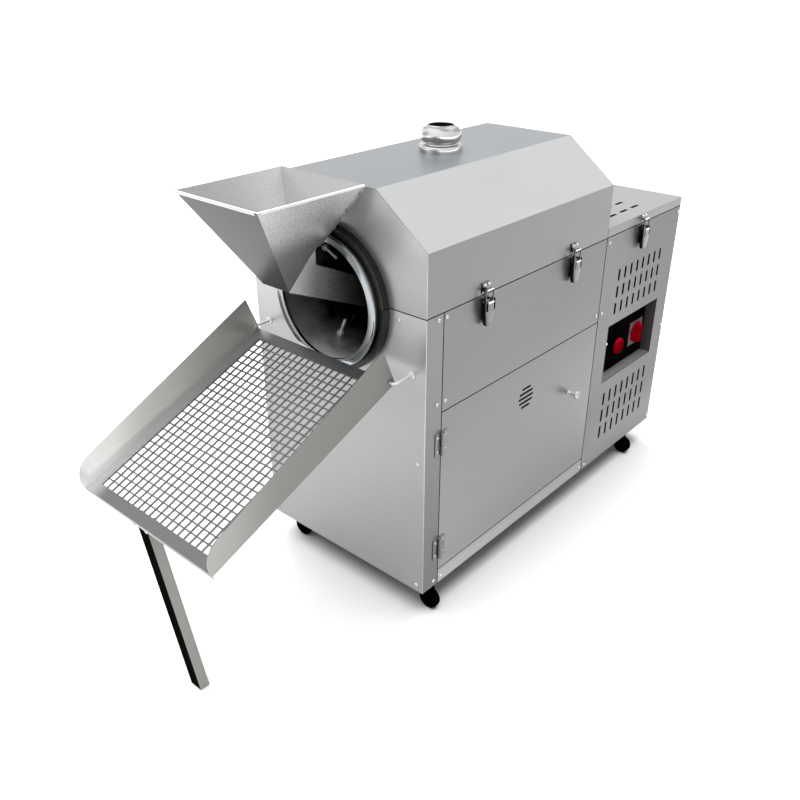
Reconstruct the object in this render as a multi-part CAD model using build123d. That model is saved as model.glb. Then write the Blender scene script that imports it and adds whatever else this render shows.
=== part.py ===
from build123d import *
from math import cos, degrees, atan2, hypot, pi, radians, sin, tan
import os

# Drum roaster for nuts and grain. Millimetres, floor at zero height, drum mouth towards -Y,
# service side towards +X. Every size is named here once and used by name below.

# Clearances
GAP = 0.3                    # between pieces that move against each other
RUNNING = 0.05               # radial play of a pin or shaft in its bore
SEAM = 1.0                   # visible joint between neighbouring panels
SLIP = 0.1                   # radial play of pieces that are seated on one another

# Cabinet
FLOOR_CLEAR = 70.0
CABINET_WIDTH = 500.0
CABINET_LENGTH = 1085.0
ROAST_LENGTH = 685.0
SPLIT_RISE = 668.0           # from the cabinet's bottom edge to the hood
SHEET = 1.5
RETURN = 52.0                # the front panel's folded sides
SILL_RISE = 39.0
UPPER_PANEL_DROP = 220.0     # lower edge of the upper side panel, below the split

# Base frame
ANGLE_WALL = 3.0
RAIL_WIDTH = 25.0
POST_WIDTH = 25.0
POST_SHORT = 12.0
PAD_SIZE = 64.0
MOTOR_SHELF = (60.0, 220.0)  # behind the bulkhead

# Hood and control cover
SHOULDER_RISE = 129.0
ROOF_RISE = 227.0
SLANT_RUN = 127.5            # the hood's slanted sides, measured across
COVER_RISE = 23.0
COVER_SLOT = (38.0, 9.0)     # length and width of one dash
COVER_SLOT_COUNT = 4
COVER_SLOT_SHARES = (0.125, 0.56)
COVER_SLOT_ROWS = (50.0, 95.0)  # in from the cover's sides

# Drum
AXIS_DROP = 16.0             # drum axis below the split
DRUM_RADIUS = 139.0
DRUM_WALL = 3.0
DRUM_FRONT = -25.0
DRUM_REAR_BACK = 45.0        # drum's rear end in front of the bulkhead
RIM_OUTER = 144.0
RIM_INNER = 126.0
RIM_DEPTH = 8.0
VANE_COUNT = 3
VANE_HEIGHT = 38.0
VANE_WALL = 3.0
VANE_START = 110.0
VANE_BACK = 20.0             # vane's end from the drum's rear end
VANE_TWIST = 60.0
STUD_COUNT = 4
STUD_TURN = 65.0
STUD_Y = (70.0, 96.0)
STUD_RADIUS = 3.5
STUD_LENGTH = 42.0
STUD_NUT_RADIUS = 8.0
STUD_NUT_HEIGHT = 7.0
SHAFT_RADIUS = 12.0
SHAFT_BEHIND = 67.0          # shaft's end behind the bulkhead
HUB_RADIUS = 45.0
HUB_DEPTH = 8.0

# Collar round the drum mouth
COLLAR_INNER = 142.5
COLLAR_OUTER = 156.0
COLLAR_DEPTH = 17.5
COLLAR_WALL = 2.0
NOTCH_RADIUS = 150.0

# Chain drive
CHAIN_PITCH = 9.525
DRUM_TEETH = 18
MOTOR_TEETH = 12
SPROCKET_BEHIND = 50.0
SPROCKET_WALL = 5.0
TOOTH_RISE = 2.4
TOOTH_DIP = 2.6
TOOTH_TIP_SHARE = 0.22
TOOTH_ROOT_SHARE = 0.5
SPROCKET_HUB = (18.0, 10.0)  # radius and length
CHAIN_WALL = 5.0
CHAIN_SIDE = 1.5
MOTOR_AXIS_RISE = 90.0       # above the base frame
MOTOR_SHAFT_RADIUS = 9.0
GEARBOX = (110.0, 100.0, 150.0)
GEARBOX_BEHIND = 80.0
MOTOR_RADIUS = 56.0
MOTOR_REAR_CLEAR = 70.0      # from the motor's end to the rear of the cabinet
MOTOR_SHAFT_DEPTH = 22.0
MOTOR_BOX = (80.0, 40.0)     # width, and rise above the motor
MOTOR_BOX_SHARES = (0.2, 0.6)
MOTOR_FOOT = (150.0, 120.0, 10.0)

# Drum support
ROLLER_RADIUS = 20.0
ROLLER_ANGLE = 35.0
ROLLER_Y = (44.0, 68.0)
JOURNAL_RADIUS = 6.0
BRACKET_WALL = 5.0
BRACKET_WIDTH = 36.0
BRACKET_TOP = 11.0
BEAM_DROP = 45.0
BEAM_WALL = 6.0
BEARING_RADIUS = 24.0
BEARING_BACK = (29.0, 5.0)   # in front of the bulkhead
BEARING_FOOT = (110.0, 8.0)  # width and thickness
BEARING_RISE = 34.0
BEARING_SHELF_WALL = 6.0
BEARING_SHELF_HEIGHT = 90.0
BEARING_SHELF_BACK = 33.0
BULKHEAD_HOLE = 20.0

# Furnace
FURNACE_DROP = 300.0
FURNACE_Y = 28.0
FURNACE_INSET = 28.0
BURNER_COUNT = 3
BURNER_PITCH = 75.0
BURNER_RADIUS = 11.0
BURNER_START = 90.0
MANIFOLD_BACK = 85.0         # in front of the bulkhead
BURNER_RISE = 36.0
BURNER_SHIFT = -40.0
BURNER_FOOT = 8.0
BURNER_FEET_INSET = (50.0, 60.0)
MANIFOLD_RADIUS = 14.0
TAIL_RADIUS = 6.0
TAIL_LENGTH = 26.0
TAIL_FLANGE = (20.0, 4.0)    # radius and thickness
MANIFOLD_HOLE = 15.0

# Feed hopper and chute, heights above the split
HOPPER_RIM_RISE = 236.5
HOPPER_HALF = 114.0
HOPPER_Y = (-275.0, -20.0)
HOPPER_WALL = 1.5
HEM_HEIGHT = 8.0
HEM_WALL = 3.0
OUTLET_HALF = 37.5
OUTLET_FRONT = (-152.0, 45.0)
OUTLET_REAR = (-80.0, 114.0)
CHUTE_TOP_RISE = 81.5        # side's upper edge under the outlet's rear end
CHUTE_SLOPE = 23.5
CHUTE_TOP_SLOPE = 25.0
CHUTE_REAR = 110.0
BRACKET_HALF = 50.0
BRACKET_RISE = 215.0
BRACKET_FOOT = 22.0

# Chimney, radius and height above the roof
CHIMNEY_BACK = 343.0         # in front of the bulkhead
CHIMNEY_BORE = 26.0
CHIMNEY_BASE = (48.0, 15.0)
CHIMNEY_NECK = (42.5, 21.0)
CHIMNEY_BULB = (45.5, 35.0)
CHIMNEY_MOUTH = (29.0, 59.5)
CHIMNEY_BASE_ROUND = 4.0

# Discharge tray
TRAY_SLOPE = 22.3
TRAY_REAR_Y = -39.0
TRAY_DROP = 133.0
TRAY_MARGIN = 46.5           # narrower than the cabinet on each side
TRAY_LENGTH = 506.0
TRAY_WALLS = (85.0, 53.0)    # height at the rear and at the front
TRAY_SHEET = 1.5
TRAY_CORNER = 48.0
TRAY_LIP = 10.0
TRAY_BORDER = 25.0
MESH_COLUMNS = 15
MESH_ROWS = 20
MESH_WIRE = 3.3
MESH_LAP = 8.0
HOOK_RADIUS = 3.0
HOOK_SPOT = (12.0, 10.0)     # tray hinge from the tray's rear edge and above its base
HOOK_OUT = 10.0
HOOK_PLATE = (24.0, 34.0, 2.0)
HOOK_INSIDE = 6.0
HOOK_BEND = 7.0

# Leg under the tray
LEG_X = -27.0
LEG_WIDTH = 32.0
LEG_DEPTH = 22.0
LEG_BACK = 6.0               # flange behind the pivot
LEG_WALL = 3.0
LEG_INSET = 23.0             # pivot from the tray's front edge
LEG_DROP = 14.0              # pivot below the tray's base
LEG_PIN_RADIUS = 4.0
LEG_FOOT = (28.5, -451.5)
LEG_TOP = 4.0
LEG_CLEAR = 2.0              # between the leg's cut top and the sieve
EAR_WALL = 3.0
EAR_RADIUS = 8.5
EAR_DROP = 20.0              # lower edge below the tray's base
EAR_CLEAR = 2.5              # beside the leg

# Castors
CASTOR_INSET = 38.0
CASTOR_ENDS = (44.0, 122.0)  # from the cabinet's front and rear
WHEEL_RADIUS = 25.0
WHEEL_WIDTH = 20.0
WHEEL_ROUND = 4.0
WHEEL_DISH = (16.0, 2.0)
AXLE_RADIUS = 4.0
CASTOR_TRAIL = 24.0
FORK_WALL = 2.5
FORK_PLAY = 1.0
FORK_CROWN = (54.0, 57.5)
FORK_FRONT = 15.0
FORK_TAIL = 8.0
SWIVEL_RADIUS = 17.0
STEM_RADIUS = 6.0
STEM_TOP = 86.0
STEM_NUT = (10.0, 7.0)

# Hinges
HINGE_LENGTH = 54.0
HINGE_LEAF = 26.0
DOOR_HINGE_LEAF = 20.0
HINGE_WALL = 2.0
KNUCKLE_RADIUS = 5.0
HINGE_PIN = 2.5
HOOD_HINGES_ENDS = (100.0, 145.0)
COVER_HINGE_SHARES = (0.1375, 0.7375)
DOOR_HINGES_DROP = (320.0, 592.0)

# Side door
DOOR_FLANGE = 12.0
KNOB_BACK = 113.0            # in front of the bulkhead
KNOB_DROP = 377.5
KNOB_STEM = (5.0, 13.0)
KNOB_HEAD = (10.5, 15.0)
KNOB_BASE = (9.0, 2.0)
KNOB_ROUND = 3.0
VENT_BACK = 314.0
VENT_DROP = 311.0
VENT_RADIUS = 30.0
VENT_SLOT = 6.0
VENT_PITCH = 12.0
VENT_COUNT = 5

# Toggle latches, measured from the split and from the panel's face
LATCH_ENDS = (184.0, 161.0)  # from the cabinet's front, and in front of the bulkhead
REAR_LATCH_SHARE = 0.4425
LEVER_PIVOT = (8.0, -12.0)
LEVER_PIN = 2.5
LEVER_CHEEK = (15.0, 17.0)
LEVER_CHEEK_LENGTH = 24.0
LEVER_CHEEK_BACK = 4.0
LEVER_FACE = (6.0, 9.0)
LEVER_WEB_TOP = 20.0
LEVER_WEB_END = 54.0
LEVER_END_HALF = 10.0
BASE_HALF = 10.0
BASE_WALL = 2.0
BASE_SPAN = (-52.0, -5.0)
BAIL_PIVOT = (4.6, -10.0)
BAIL_RADIUS = 1.6
BAIL_HALF = 12.5
BAIL_TOP = 12.0
BAIL_BEND = 2.0
KEEPER_HALF = 12.0
KEEPER_SPAN = (4.0, 26.0)
KEEPER_HOOK = (8.0, 15.0)
KEEPER_WALL = 2.0
KEEPER_HOOK_HALF = 9.0
KEEPER_GAP = 0.4

# Control section, where a share is counted from the bulkhead to the rear
WINDOW_SHARES = (0.1575, 0.85)
WINDOW_DROP = (254.0, 420.0)
WINDOW_DEPTH = 30.0
PLATE_WALL = 2.0
PLATE_LAP = 9.0
SWITCH_DROP = 347.0          # below the split
STOP_SHARE = 0.4125
STOP_HEAD = (23.0, 12.0)
STOP_STEM = 9.0
STOP_COLLAR = (17.0, 6.0)
STOP_STANDOFF = 5.0
STOP_TAIL = 7.0
STOP_ROUND = 4.0
SWITCH_SHARE = 0.7175
SWITCH_PLATE = (72.0, 3.0)
SWITCH_DISC = (30.0, 5.0)
SWITCH_GRIP = (14.0, 54.0, 12.0)
SWITCH_STEM = 8.0
SWITCH_TAIL = 7.0
LAMP_SHARE = 0.275
LAMP_DROP = 326.0
LAMP_SIZE = (6.0, 9.0)
SLOT_WIDTH = 10.0
UPPER_SLOT_SHARES = (0.215, 0.78)
UPPER_SLOT_DROP = (116.5, 209.5)
UPPER_SLOT_LENGTH = 33.0
LOWER_SLOT_SHARES = (0.2175, 0.805)
LOWER_SLOT_DROP = (477.0, 582.0)
LOWER_SLOT_LENGTH = 40.0
SLOT_COLUMNS = 8
SLOT_ROWS = 3
REAR_SLOT_X = 120.0
GLAND_SPOT = (85.0, 120.0)   # from the cabinet's rear and above its bottom edge
GLAND_BORE = 5.0
GLAND_NUT = (14.0, 8.0)
GLAND_NECK = (9.0, 20.0)
GLAND_SHANK = (8.0, 6.0)

# Screw heads: distance along or across, and depth below the split
SCREW_RADIUS = 5.0
SCREW_TIP = 3.2
SCREW_RISE = 2.4
FRONT_END_SCREWS = ((37.0, 13.0), (62.0, 13.0), (37.0, 197.0), (63.0, 197.0), (38.0, 654.0), (64.0, 656.0))
BULKHEAD_SCREWS = ((-13.0, 200.0), (16.0, 202.0), (14.0, 16.0), (-9.0, 655.0), (18.0, 658.0))
REAR_END_SCREWS = ((10.0, 655.0), (11.0, 350.0), (11.0, 16.0))
FACE_SCREWS = ((70.0, 20.0), (18.0, 330.0), (18.0, 650.0))

# Derived places
half = CABINET_WIDTH / 2
inside = half - SHEET
split = FLOOR_CLEAR + SPLIT_RISE
panel_top = split - SEAM
sill_top = FLOOR_CLEAR + SILL_RISE
axis_z = split - AXIS_DROP
roof = split + ROOF_RISE
bulkhead_rear = ROAST_LENGTH + SHEET
control_length = CABINET_LENGTH - ROAST_LENGTH
hood_rear = ROAST_LENGTH - SEAM
cover_front = bulkhead_rear - SHEET / 2
motor_z = sill_top + MOTOR_AXIS_RISE
plate_face = half - WINDOW_DEPTH
door_top = split - UPPER_PANEL_DROP
furnace_top = split - FURNACE_DROP
furnace_right = half - FURNACE_INSET
roof_half = half - SLANT_RUN
drum_rear = ROAST_LENGTH - DRUM_REAR_BACK
shaft_rear = ROAST_LENGTH + SHAFT_BEHIND
sprocket_y = (ROAST_LENGTH + SPROCKET_BEHIND, ROAST_LENGTH + SPROCKET_BEHIND + SPROCKET_WALL)
gearbox_y = ROAST_LENGTH + GEARBOX_BEHIND
gearbox_rear = gearbox_y + GEARBOX[1]
motor_length = CABINET_LENGTH - MOTOR_REAR_CLEAR - gearbox_rear
bearing_y = tuple(ROAST_LENGTH - back for back in BEARING_BACK)
manifold_y = ROAST_LENGTH - MANIFOLD_BACK
chimney_y = ROAST_LENGTH - CHIMNEY_BACK
knob_y = ROAST_LENGTH - KNOB_BACK
gland_y = CABINET_LENGTH - GLAND_SPOT[0]
castor_x = half - CASTOR_INSET
castor_y = (CASTOR_ENDS[0], CABINET_LENGTH - CASTOR_ENDS[1])
hood_hinges_y = (HOOD_HINGES_ENDS[0], ROAST_LENGTH - HOOD_HINGES_ENDS[1])
tray_half = half - TRAY_MARGIN
leg_station = TRAY_LENGTH - LEG_INSET
tray_origin = (0, TRAY_REAR_Y, split - TRAY_DROP)
tray_place = Pos(*tray_origin) * Rot(X=TRAY_SLOPE)
drum_pitch_radius = CHAIN_PITCH / (2 * sin(pi / DRUM_TEETH))
motor_pitch_radius = CHAIN_PITCH / (2 * sin(pi / MOTOR_TEETH))


def control(shares):
    """Places along the control section from their shares of its length."""
    return tuple(ROAST_LENGTH + share * control_length for share in shares)


window_y = control(WINDOW_SHARES)
cover_hinges_y = control(COVER_HINGE_SHARES)
stop_y, switch_y, lamp_y, rear_latch_y = control((STOP_SHARE, SWITCH_SHARE, LAMP_SHARE, REAR_LATCH_SHARE))
switch_z = split - SWITCH_DROP
latch_y = (LATCH_ENDS[0], ROAST_LENGTH - LATCH_ENDS[1], rear_latch_y)


def block(x, y, z):
    """A box between two values along each axis."""
    spans = (x, y, z)
    middle = [(low + high) / 2 for low, high in spans]
    size = [abs(high - low) for low, high in spans]
    return Pos(*middle) * Box(*size)


def rod(start, end, radius):
    """A round bar between two points."""
    path = Vector(*end) - Vector(*start)
    return Part() + Solid.make_cylinder(radius, path.length, Plane(start, z_dir=path))


def wire(points, radius, bend):
    """A round wire through the given points with rounded bends."""
    path = FilletPolyline(*points, radius=bend)
    return sweep(Plane(path @ 0, z_dir=path % 0) * Circle(radius), path=path)


def polygon(points):
    """A flat face through the given corners."""
    return make_face(Polyline(*points, close=True))


def across(face, y, depth):
    """A face drawn as width and height, made solid from y backwards by depth."""
    return extrude(Plane((0, y + depth, 0), x_dir=(1, 0, 0), z_dir=(0, -1, 0)) * face, depth)


def sideways(face, x, depth):
    """A face drawn as length and height, made solid from x outwards by depth."""
    return extrude(Plane((x, 0, 0), x_dir=(0, 1, 0), z_dir=(1, 0, 0)) * face, depth)


def ring(outer, inner, y, height=axis_z, x=0):
    """A tube along the cabinet between two y values."""
    start = (x, y[0], height)
    end = (x, y[1], height)
    return rod(start, end, outer) - rod(start, end, inner)


def spread(span, count):
    """Evenly spaced values from the first to the last."""
    return [span[0] + (span[1] - span[0]) * index / (count - 1) for index in range(count)]


def slots(columns, rows, length, width, turn):
    """A field of round-ended slots as one flat face."""
    return Sketch() + [Pos(column, row) * SlotOverall(length, width, rotation=turn)
                       for column in columns for row in rows]


def base_frame():
    """Bottom rails, castor pads, sill, motor shelf and six posts, welded together."""
    y_span = (SHEET, CABINET_LENGTH - SHEET)
    y_inner = (y_span[0] + ANGLE_WALL, y_span[1] - ANGLE_WALL)
    y_flange = (y_span[0] + RAIL_WIDTH, y_span[1] - RAIL_WIDTH)
    x_inner = inside - ANGLE_WALL
    x_flange = inside - RAIL_WIDTH
    tall = (FLOOR_CLEAR, sill_top)
    flange = (sill_top - ANGLE_WALL, sill_top)
    frame = block((-inside, inside), y_span, tall) - block((-x_inner, x_inner), y_inner, tall)
    frame += block((-inside, inside), y_span, flange) - block((-x_flange, x_flange), y_flange, flange)
    frame += block((-inside, inside), [ROAST_LENGTH + behind for behind in MOTOR_SHELF], flange)
    frame += block((-inside, inside), (ROAST_LENGTH - RAIL_WIDTH, ROAST_LENGTH + RAIL_WIDTH), flange)
    frame += block((inside, half), (RETURN + SEAM, hood_rear), tall)
    for side in (-1, 1):
        for y in castor_y:
            reach = (y - PAD_SIZE / 2, y + PAD_SIZE / 2)
            reach = (max(reach[0], y_span[0]), reach[1])
            pad = block((side * (inside - PAD_SIZE), side * inside), reach,
                        (FLOOR_CLEAR, FLOOR_CLEAR + ANGLE_WALL))
            frame += pad
            low = (side * castor_x, y, FLOOR_CLEAR)
            high = (side * castor_x, y, FLOOR_CLEAR + ANGLE_WALL)
            frame -= rod(low, high, STEM_RADIUS + RUNNING)
        for corner, way in ((y_span[0], 1), (bulkhead_rear, 1), (y_span[1], -1)):
            height = (sill_top, panel_top - POST_SHORT)
            frame += block((side * (inside - POST_WIDTH), side * inside),
                           (corner, corner + way * ANGLE_WALL), height)
            frame += block((side * (inside - ANGLE_WALL), side * inside),
                           (corner, corner + way * POST_WIDTH), height)
    return frame


def front_panel():
    """Front sheet with folded sides and the lower half of the drum opening."""
    tall = (FLOOR_CLEAR, panel_top)
    panel = block((-half, half), (0, SHEET), tall)
    for side in (-1, 1):
        panel += block((side * inside, side * half), (0, RETURN), tall)
    return panel - rod((0, 0, axis_z), (0, SHEET, axis_z), NOTCH_RADIUS)


def left_panel():
    """Closed left side with the gas and cable openings."""
    panel = block((-half, -inside), (RETURN + SEAM, CABINET_LENGTH - SHEET), (FLOOR_CLEAR, panel_top))
    gas_z = furnace_top + BURNER_RISE
    panel -= rod((-half, manifold_y, gas_z), (-inside, manifold_y, gas_z), MANIFOLD_HOLE)
    gland_z = FLOOR_CLEAR + GLAND_SPOT[1]
    return panel - rod((-half, gland_y, gland_z), (-inside, gland_y, gland_z), GLAND_SHANK[0] + SLIP)


def rear_panel():
    """Rear sheet with rows of air slots."""
    panel = block((-half, half), (CABINET_LENGTH - SHEET, CABINET_LENGTH), (FLOOR_CLEAR, panel_top))
    columns = spread((-REAR_SLOT_X, REAR_SLOT_X), SLOT_COLUMNS)
    rows = [split - drop for drop in spread(UPPER_SLOT_DROP, SLOT_ROWS)]
    return panel - across(slots(columns, rows, UPPER_SLOT_LENGTH, SLOT_WIDTH, 90),
                          CABINET_LENGTH - SHEET, SHEET)


def upper_side_panel():
    """Fixed strip between the hood and the side door."""
    return block((inside, half), (RETURN + SEAM, hood_rear), (door_top, panel_top))


def control_side_panel():
    """Control section's right side with air slots and the recessed window frame."""
    panel = block((inside, half), (cover_front, CABINET_LENGTH - SHEET), (FLOOR_CLEAR, panel_top))
    upper_rows = [split - drop for drop in spread(UPPER_SLOT_DROP, SLOT_ROWS)]
    lower_rows = [split - drop for drop in spread(LOWER_SLOT_DROP, SLOT_ROWS)]
    upper_columns = spread(control(UPPER_SLOT_SHARES), SLOT_COLUMNS)
    lower_columns = spread(control(LOWER_SLOT_SHARES), SLOT_COLUMNS)
    face = slots(upper_columns, upper_rows, UPPER_SLOT_LENGTH, SLOT_WIDTH, 90)
    face += slots(lower_columns, lower_rows, LOWER_SLOT_LENGTH, SLOT_WIDTH, 90)
    panel -= sideways(face, inside, SHEET)
    z_span = (split - WINDOW_DROP[1], split - WINDOW_DROP[0])
    panel += block((plate_face, inside), (window_y[0] - SHEET, window_y[1] + SHEET),
                   (z_span[0] - SHEET, z_span[1] + SHEET))
    return panel - block((plate_face, half), window_y, z_span)


def bulkhead():
    """Wall between the roasting and the control section."""
    wall = block((-inside, inside), (ROAST_LENGTH, bulkhead_rear), (sill_top, panel_top))
    return wall - rod((0, ROAST_LENGTH, axis_z), (0, bulkhead_rear, axis_z), BULKHEAD_HOLE)


def furnace_floor():
    """Shelf that closes the fire space from below."""
    return block((-inside, furnace_right), (FURNACE_Y, ROAST_LENGTH), (furnace_top - SHEET, furnace_top))


def burner():
    """Burner pipes on feet, their manifold and the gas tail outside the left panel."""
    z = furnace_top + BURNER_RISE
    first = BURNER_SHIFT - BURNER_PITCH
    pipes = Part()
    for index in range(BURNER_COUNT):
        x = first + BURNER_PITCH * index
        pipes += rod((x, BURNER_START, z), (x, manifold_y, z), BURNER_RADIUS)
        for y in (BURNER_START + BURNER_FEET_INSET[0], manifold_y - BURNER_FEET_INSET[1]):
            pipes += block((x - BURNER_FOOT, x + BURNER_FOOT), (y - BURNER_FOOT, y + BURNER_FOOT),
                           (furnace_top, z))
    last = first + BURNER_PITCH * (BURNER_COUNT - 1) + MANIFOLD_RADIUS
    radius, thick = TAIL_FLANGE
    pipes += rod((-half - thick, manifold_y, z), (last, manifold_y, z), MANIFOLD_RADIUS)
    pipes += rod((-half - thick, manifold_y, z), (-half, manifold_y, z), radius)
    tail_end = -half - thick - TAIL_LENGTH
    return pipes + rod((tail_end, manifold_y, z), (-half - thick, manifold_y, z), TAIL_RADIUS)


def collar():
    """Whole flanged ring round the drum mouth, before it is parted."""
    band = ring(COLLAR_OUTER, COLLAR_INNER, (-COLLAR_DEPTH, COLLAR_WALL - COLLAR_DEPTH))
    return band + ring(COLLAR_OUTER, COLLAR_OUTER - COLLAR_WALL, (-COLLAR_DEPTH, 0))


def upper_collar():
    """Collar half carried by the hood."""
    reach = (-2 * COLLAR_OUTER, 2 * COLLAR_OUTER)
    return collar() & block(reach, reach, (split, roof))


def lower_collar():
    """Collar half carried by the front panel."""
    reach = (-2 * COLLAR_OUTER, 2 * COLLAR_OUTER)
    return collar() & block(reach, reach, (FLOOR_CLEAR, panel_top))


def control_plate():
    """Plate behind the control window."""
    y_span = (window_y[0] - PLATE_LAP, window_y[1] + PLATE_LAP)
    z_span = (split - WINDOW_DROP[1] - PLATE_LAP, split - WINDOW_DROP[0] + PLATE_LAP)
    plate = block((plate_face - PLATE_WALL, plate_face), y_span, z_span)
    for y, radius in ((stop_y, STOP_STEM), (switch_y, SWITCH_STEM)):
        plate -= rod((plate_face - PLATE_WALL, y, switch_z), (plate_face, y, switch_z), radius + GAP)
    return plate


def control_fittings():
    """Stop button's collar, the switch's square plate and a lamp, all fixed to the control plate."""
    y = stop_y
    z = switch_z
    radius, depth = STOP_COLLAR
    fittings = rod((plate_face, y, z), (plate_face + depth, y, z), radius)
    fittings -= rod((plate_face, y, z), (plate_face + depth, y, z), STOP_STEM + RUNNING)
    y = switch_y
    size, depth = SWITCH_PLATE
    y_span = (y - size / 2, y + size / 2)
    square = block((plate_face, plate_face + depth), y_span, (z - size / 2, z + size / 2))
    fittings += square - rod((plate_face, y, z), (plate_face + depth, y, z), SWITCH_STEM + RUNNING)
    z = split - LAMP_DROP
    radius, depth = LAMP_SIZE
    return fittings + rod((plate_face, lamp_y, z), (plate_face + depth, lamp_y, z), radius)


def stop_button():
    """Mushroom head on its stem, pressed inwards."""
    y = stop_y
    z = switch_z
    radius, depth = STOP_HEAD
    back = plate_face + STOP_COLLAR[1] + STOP_STANDOFF
    head = rod((back, y, z), (back + depth, y, z), radius)
    head = fillet(head.edges().filter_by(GeomType.CIRCLE).sort_by(Axis.X)[-1], STOP_ROUND)
    return head + rod((plate_face - STOP_TAIL, y, z), (back, y, z), STOP_STEM)


def rotary_switch():
    """Round handle with a raised grip on its spindle."""
    y = switch_y
    z = switch_z
    radius, depth = SWITCH_DISC
    back = plate_face + SWITCH_PLATE[1] + GAP
    wide, tall, out = SWITCH_GRIP
    handle = rod((back, y, z), (back + depth, y, z), radius)
    handle += block((back, back + depth + out), (y - wide / 2, y + wide / 2), (z - tall / 2, z + tall / 2))
    return handle + rod((plate_face - SWITCH_TAIL, y, z), (back, y, z), SWITCH_STEM)


def drum_shell():
    """Drum wall and its closed rear end with the shaft hub."""
    shell = ring(DRUM_RADIUS, DRUM_RADIUS - DRUM_WALL, (DRUM_FRONT, drum_rear))
    return shell + rod((0, drum_rear - DRUM_WALL, axis_z), (0, drum_rear, axis_z), DRUM_RADIUS)


def drum_rim():
    """Bright ring that closes the front edge of the drum."""
    return ring(RIM_OUTER, RIM_INNER, (DRUM_FRONT - RIM_DEPTH, DRUM_FRONT))


def drum_vanes():
    """Twisted lifting vanes along the drum wall."""
    outer = DRUM_RADIUS - DRUM_WALL - GAP
    profile = polygon(((outer - VANE_HEIGHT, -VANE_WALL / 2), (outer - SLIP, -VANE_WALL / 2),
                       (outer - SLIP, VANE_WALL / 2), (outer - VANE_HEIGHT, VANE_WALL / 2)))
    length = drum_rear - VANE_BACK - VANE_START
    vane = Solid.extrude_linear_with_rotation(profile.face(), (0, 0, 0), (0, 0, length), VANE_TWIST)
    vanes = [Rot(Z=360 / VANE_COUNT * index) * vane for index in range(VANE_COUNT)]
    return Pos(0, VANE_START, axis_z) * Rot(X=-90) * (Part() + vanes)


def drum_studs():
    """Threaded studs with nuts standing inwards near the mouth, staggered along it."""
    wall = DRUM_RADIUS - DRUM_WALL
    seat = (wall ** 2 - STUD_NUT_RADIUS ** 2) ** 0.5
    nut = extrude(RegularPolygon(STUD_NUT_RADIUS, 6), STUD_NUT_HEIGHT)
    stud = nut + rod((0, 0, 0), (0, 0, STUD_LENGTH), STUD_RADIUS)
    studs = Part()
    for index in range(STUD_COUNT):
        angle = STUD_TURN + 360 / STUD_COUNT * index
        turn = radians(angle)
        y = STUD_Y[index % len(STUD_Y)]
        foot = Vector(seat * cos(turn), y, axis_z + seat * sin(turn))
        inward = Vector(-cos(turn), 0, -sin(turn))
        studs += Plane(foot, x_dir=(0, 1, 0), z_dir=inward) * stud
    return studs


def drum_shaft():
    """Shaft with a flange that is bolted to the drum's rear end."""
    shaft = rod((0, drum_rear, axis_z), (0, shaft_rear, axis_z), SHAFT_RADIUS)
    return shaft + rod((0, drum_rear, axis_z), (0, drum_rear + HUB_DEPTH, axis_z), HUB_RADIUS)


def sprocket(teeth, pitch_radius, height):
    """Toothed wheel in the chain plane."""
    step = 2 * pi / teeth
    points = []
    for tooth in range(teeth):
        for radius, share in ((pitch_radius - TOOTH_DIP, -TOOTH_ROOT_SHARE / 2),
                              (pitch_radius + TOOTH_RISE, -TOOTH_TIP_SHARE / 2),
                              (pitch_radius + TOOTH_RISE, TOOTH_TIP_SHARE / 2),
                              (pitch_radius - TOOTH_DIP, TOOTH_ROOT_SHARE / 2)):
            angle = step * (tooth + share)
            points.append((radius * cos(angle), height + radius * sin(angle)))
    return across(polygon(points), sprocket_y[0], sprocket_y[1] - sprocket_y[0])


def drum_sprocket():
    """Sprocket and hub on the drum shaft."""
    radius, length = SPROCKET_HUB
    wheel = sprocket(DRUM_TEETH, drum_pitch_radius, axis_z)
    wheel += rod((0, sprocket_y[0] - length, axis_z), (0, sprocket_y[1], axis_z), radius)
    bore = SHAFT_RADIUS + SLIP
    return wheel - rod((0, sprocket_y[0] - length, axis_z), (0, sprocket_y[1], axis_z), bore)


def motor_sprocket():
    """Small sprocket with the gearmotor's output shaft."""
    wheel = sprocket(MOTOR_TEETH, motor_pitch_radius, motor_z)
    inner = gearbox_y + MOTOR_SHAFT_DEPTH
    return wheel + rod((0, sprocket_y[0], motor_z), (0, inner, motor_z), MOTOR_SHAFT_RADIUS)


def drive_chain():
    """Chain loop round both sprockets, as a closed band."""
    spots = ((axis_z, drum_pitch_radius), (motor_z, motor_pitch_radius))
    loops = []
    for extra in (0, CHAIN_WALL):
        circles = Sketch() + [Pos(0, z) * Circle(radius + TOOTH_RISE + GAP + extra) for z, radius in spots]
        loops.append(make_hull(circles.edges()))
    y = sprocket_y[0] - CHAIN_SIDE
    depth = sprocket_y[1] - sprocket_y[0] + 2 * CHAIN_SIDE
    return across(loops[1] - loops[0], y, depth)


def gearmotor():
    """Gearbox on its foot with the round motor and the terminal box behind it."""
    wide, _, tall = GEARBOX
    foot_wide, foot_deep, foot_tall = MOTOR_FOOT
    lid, rise = MOTOR_BOX
    box = block((-wide / 2, wide / 2), (gearbox_y, gearbox_rear), (sill_top, sill_top + tall))
    box += block((-foot_wide / 2, foot_wide / 2), (gearbox_y, gearbox_y + foot_deep),
                 (sill_top, sill_top + foot_tall))
    box += rod((0, gearbox_rear, motor_z), (0, gearbox_rear + motor_length, motor_z), MOTOR_RADIUS)
    box += block((-lid / 2, lid / 2), [gearbox_rear + share * motor_length for share in MOTOR_BOX_SHARES],
                 (motor_z, motor_z + MOTOR_RADIUS + rise))
    bore = MOTOR_SHAFT_RADIUS + RUNNING
    return box - rod((0, gearbox_y, motor_z), (0, gearbox_y + MOTOR_SHAFT_DEPTH + GAP, motor_z), bore)


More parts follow.
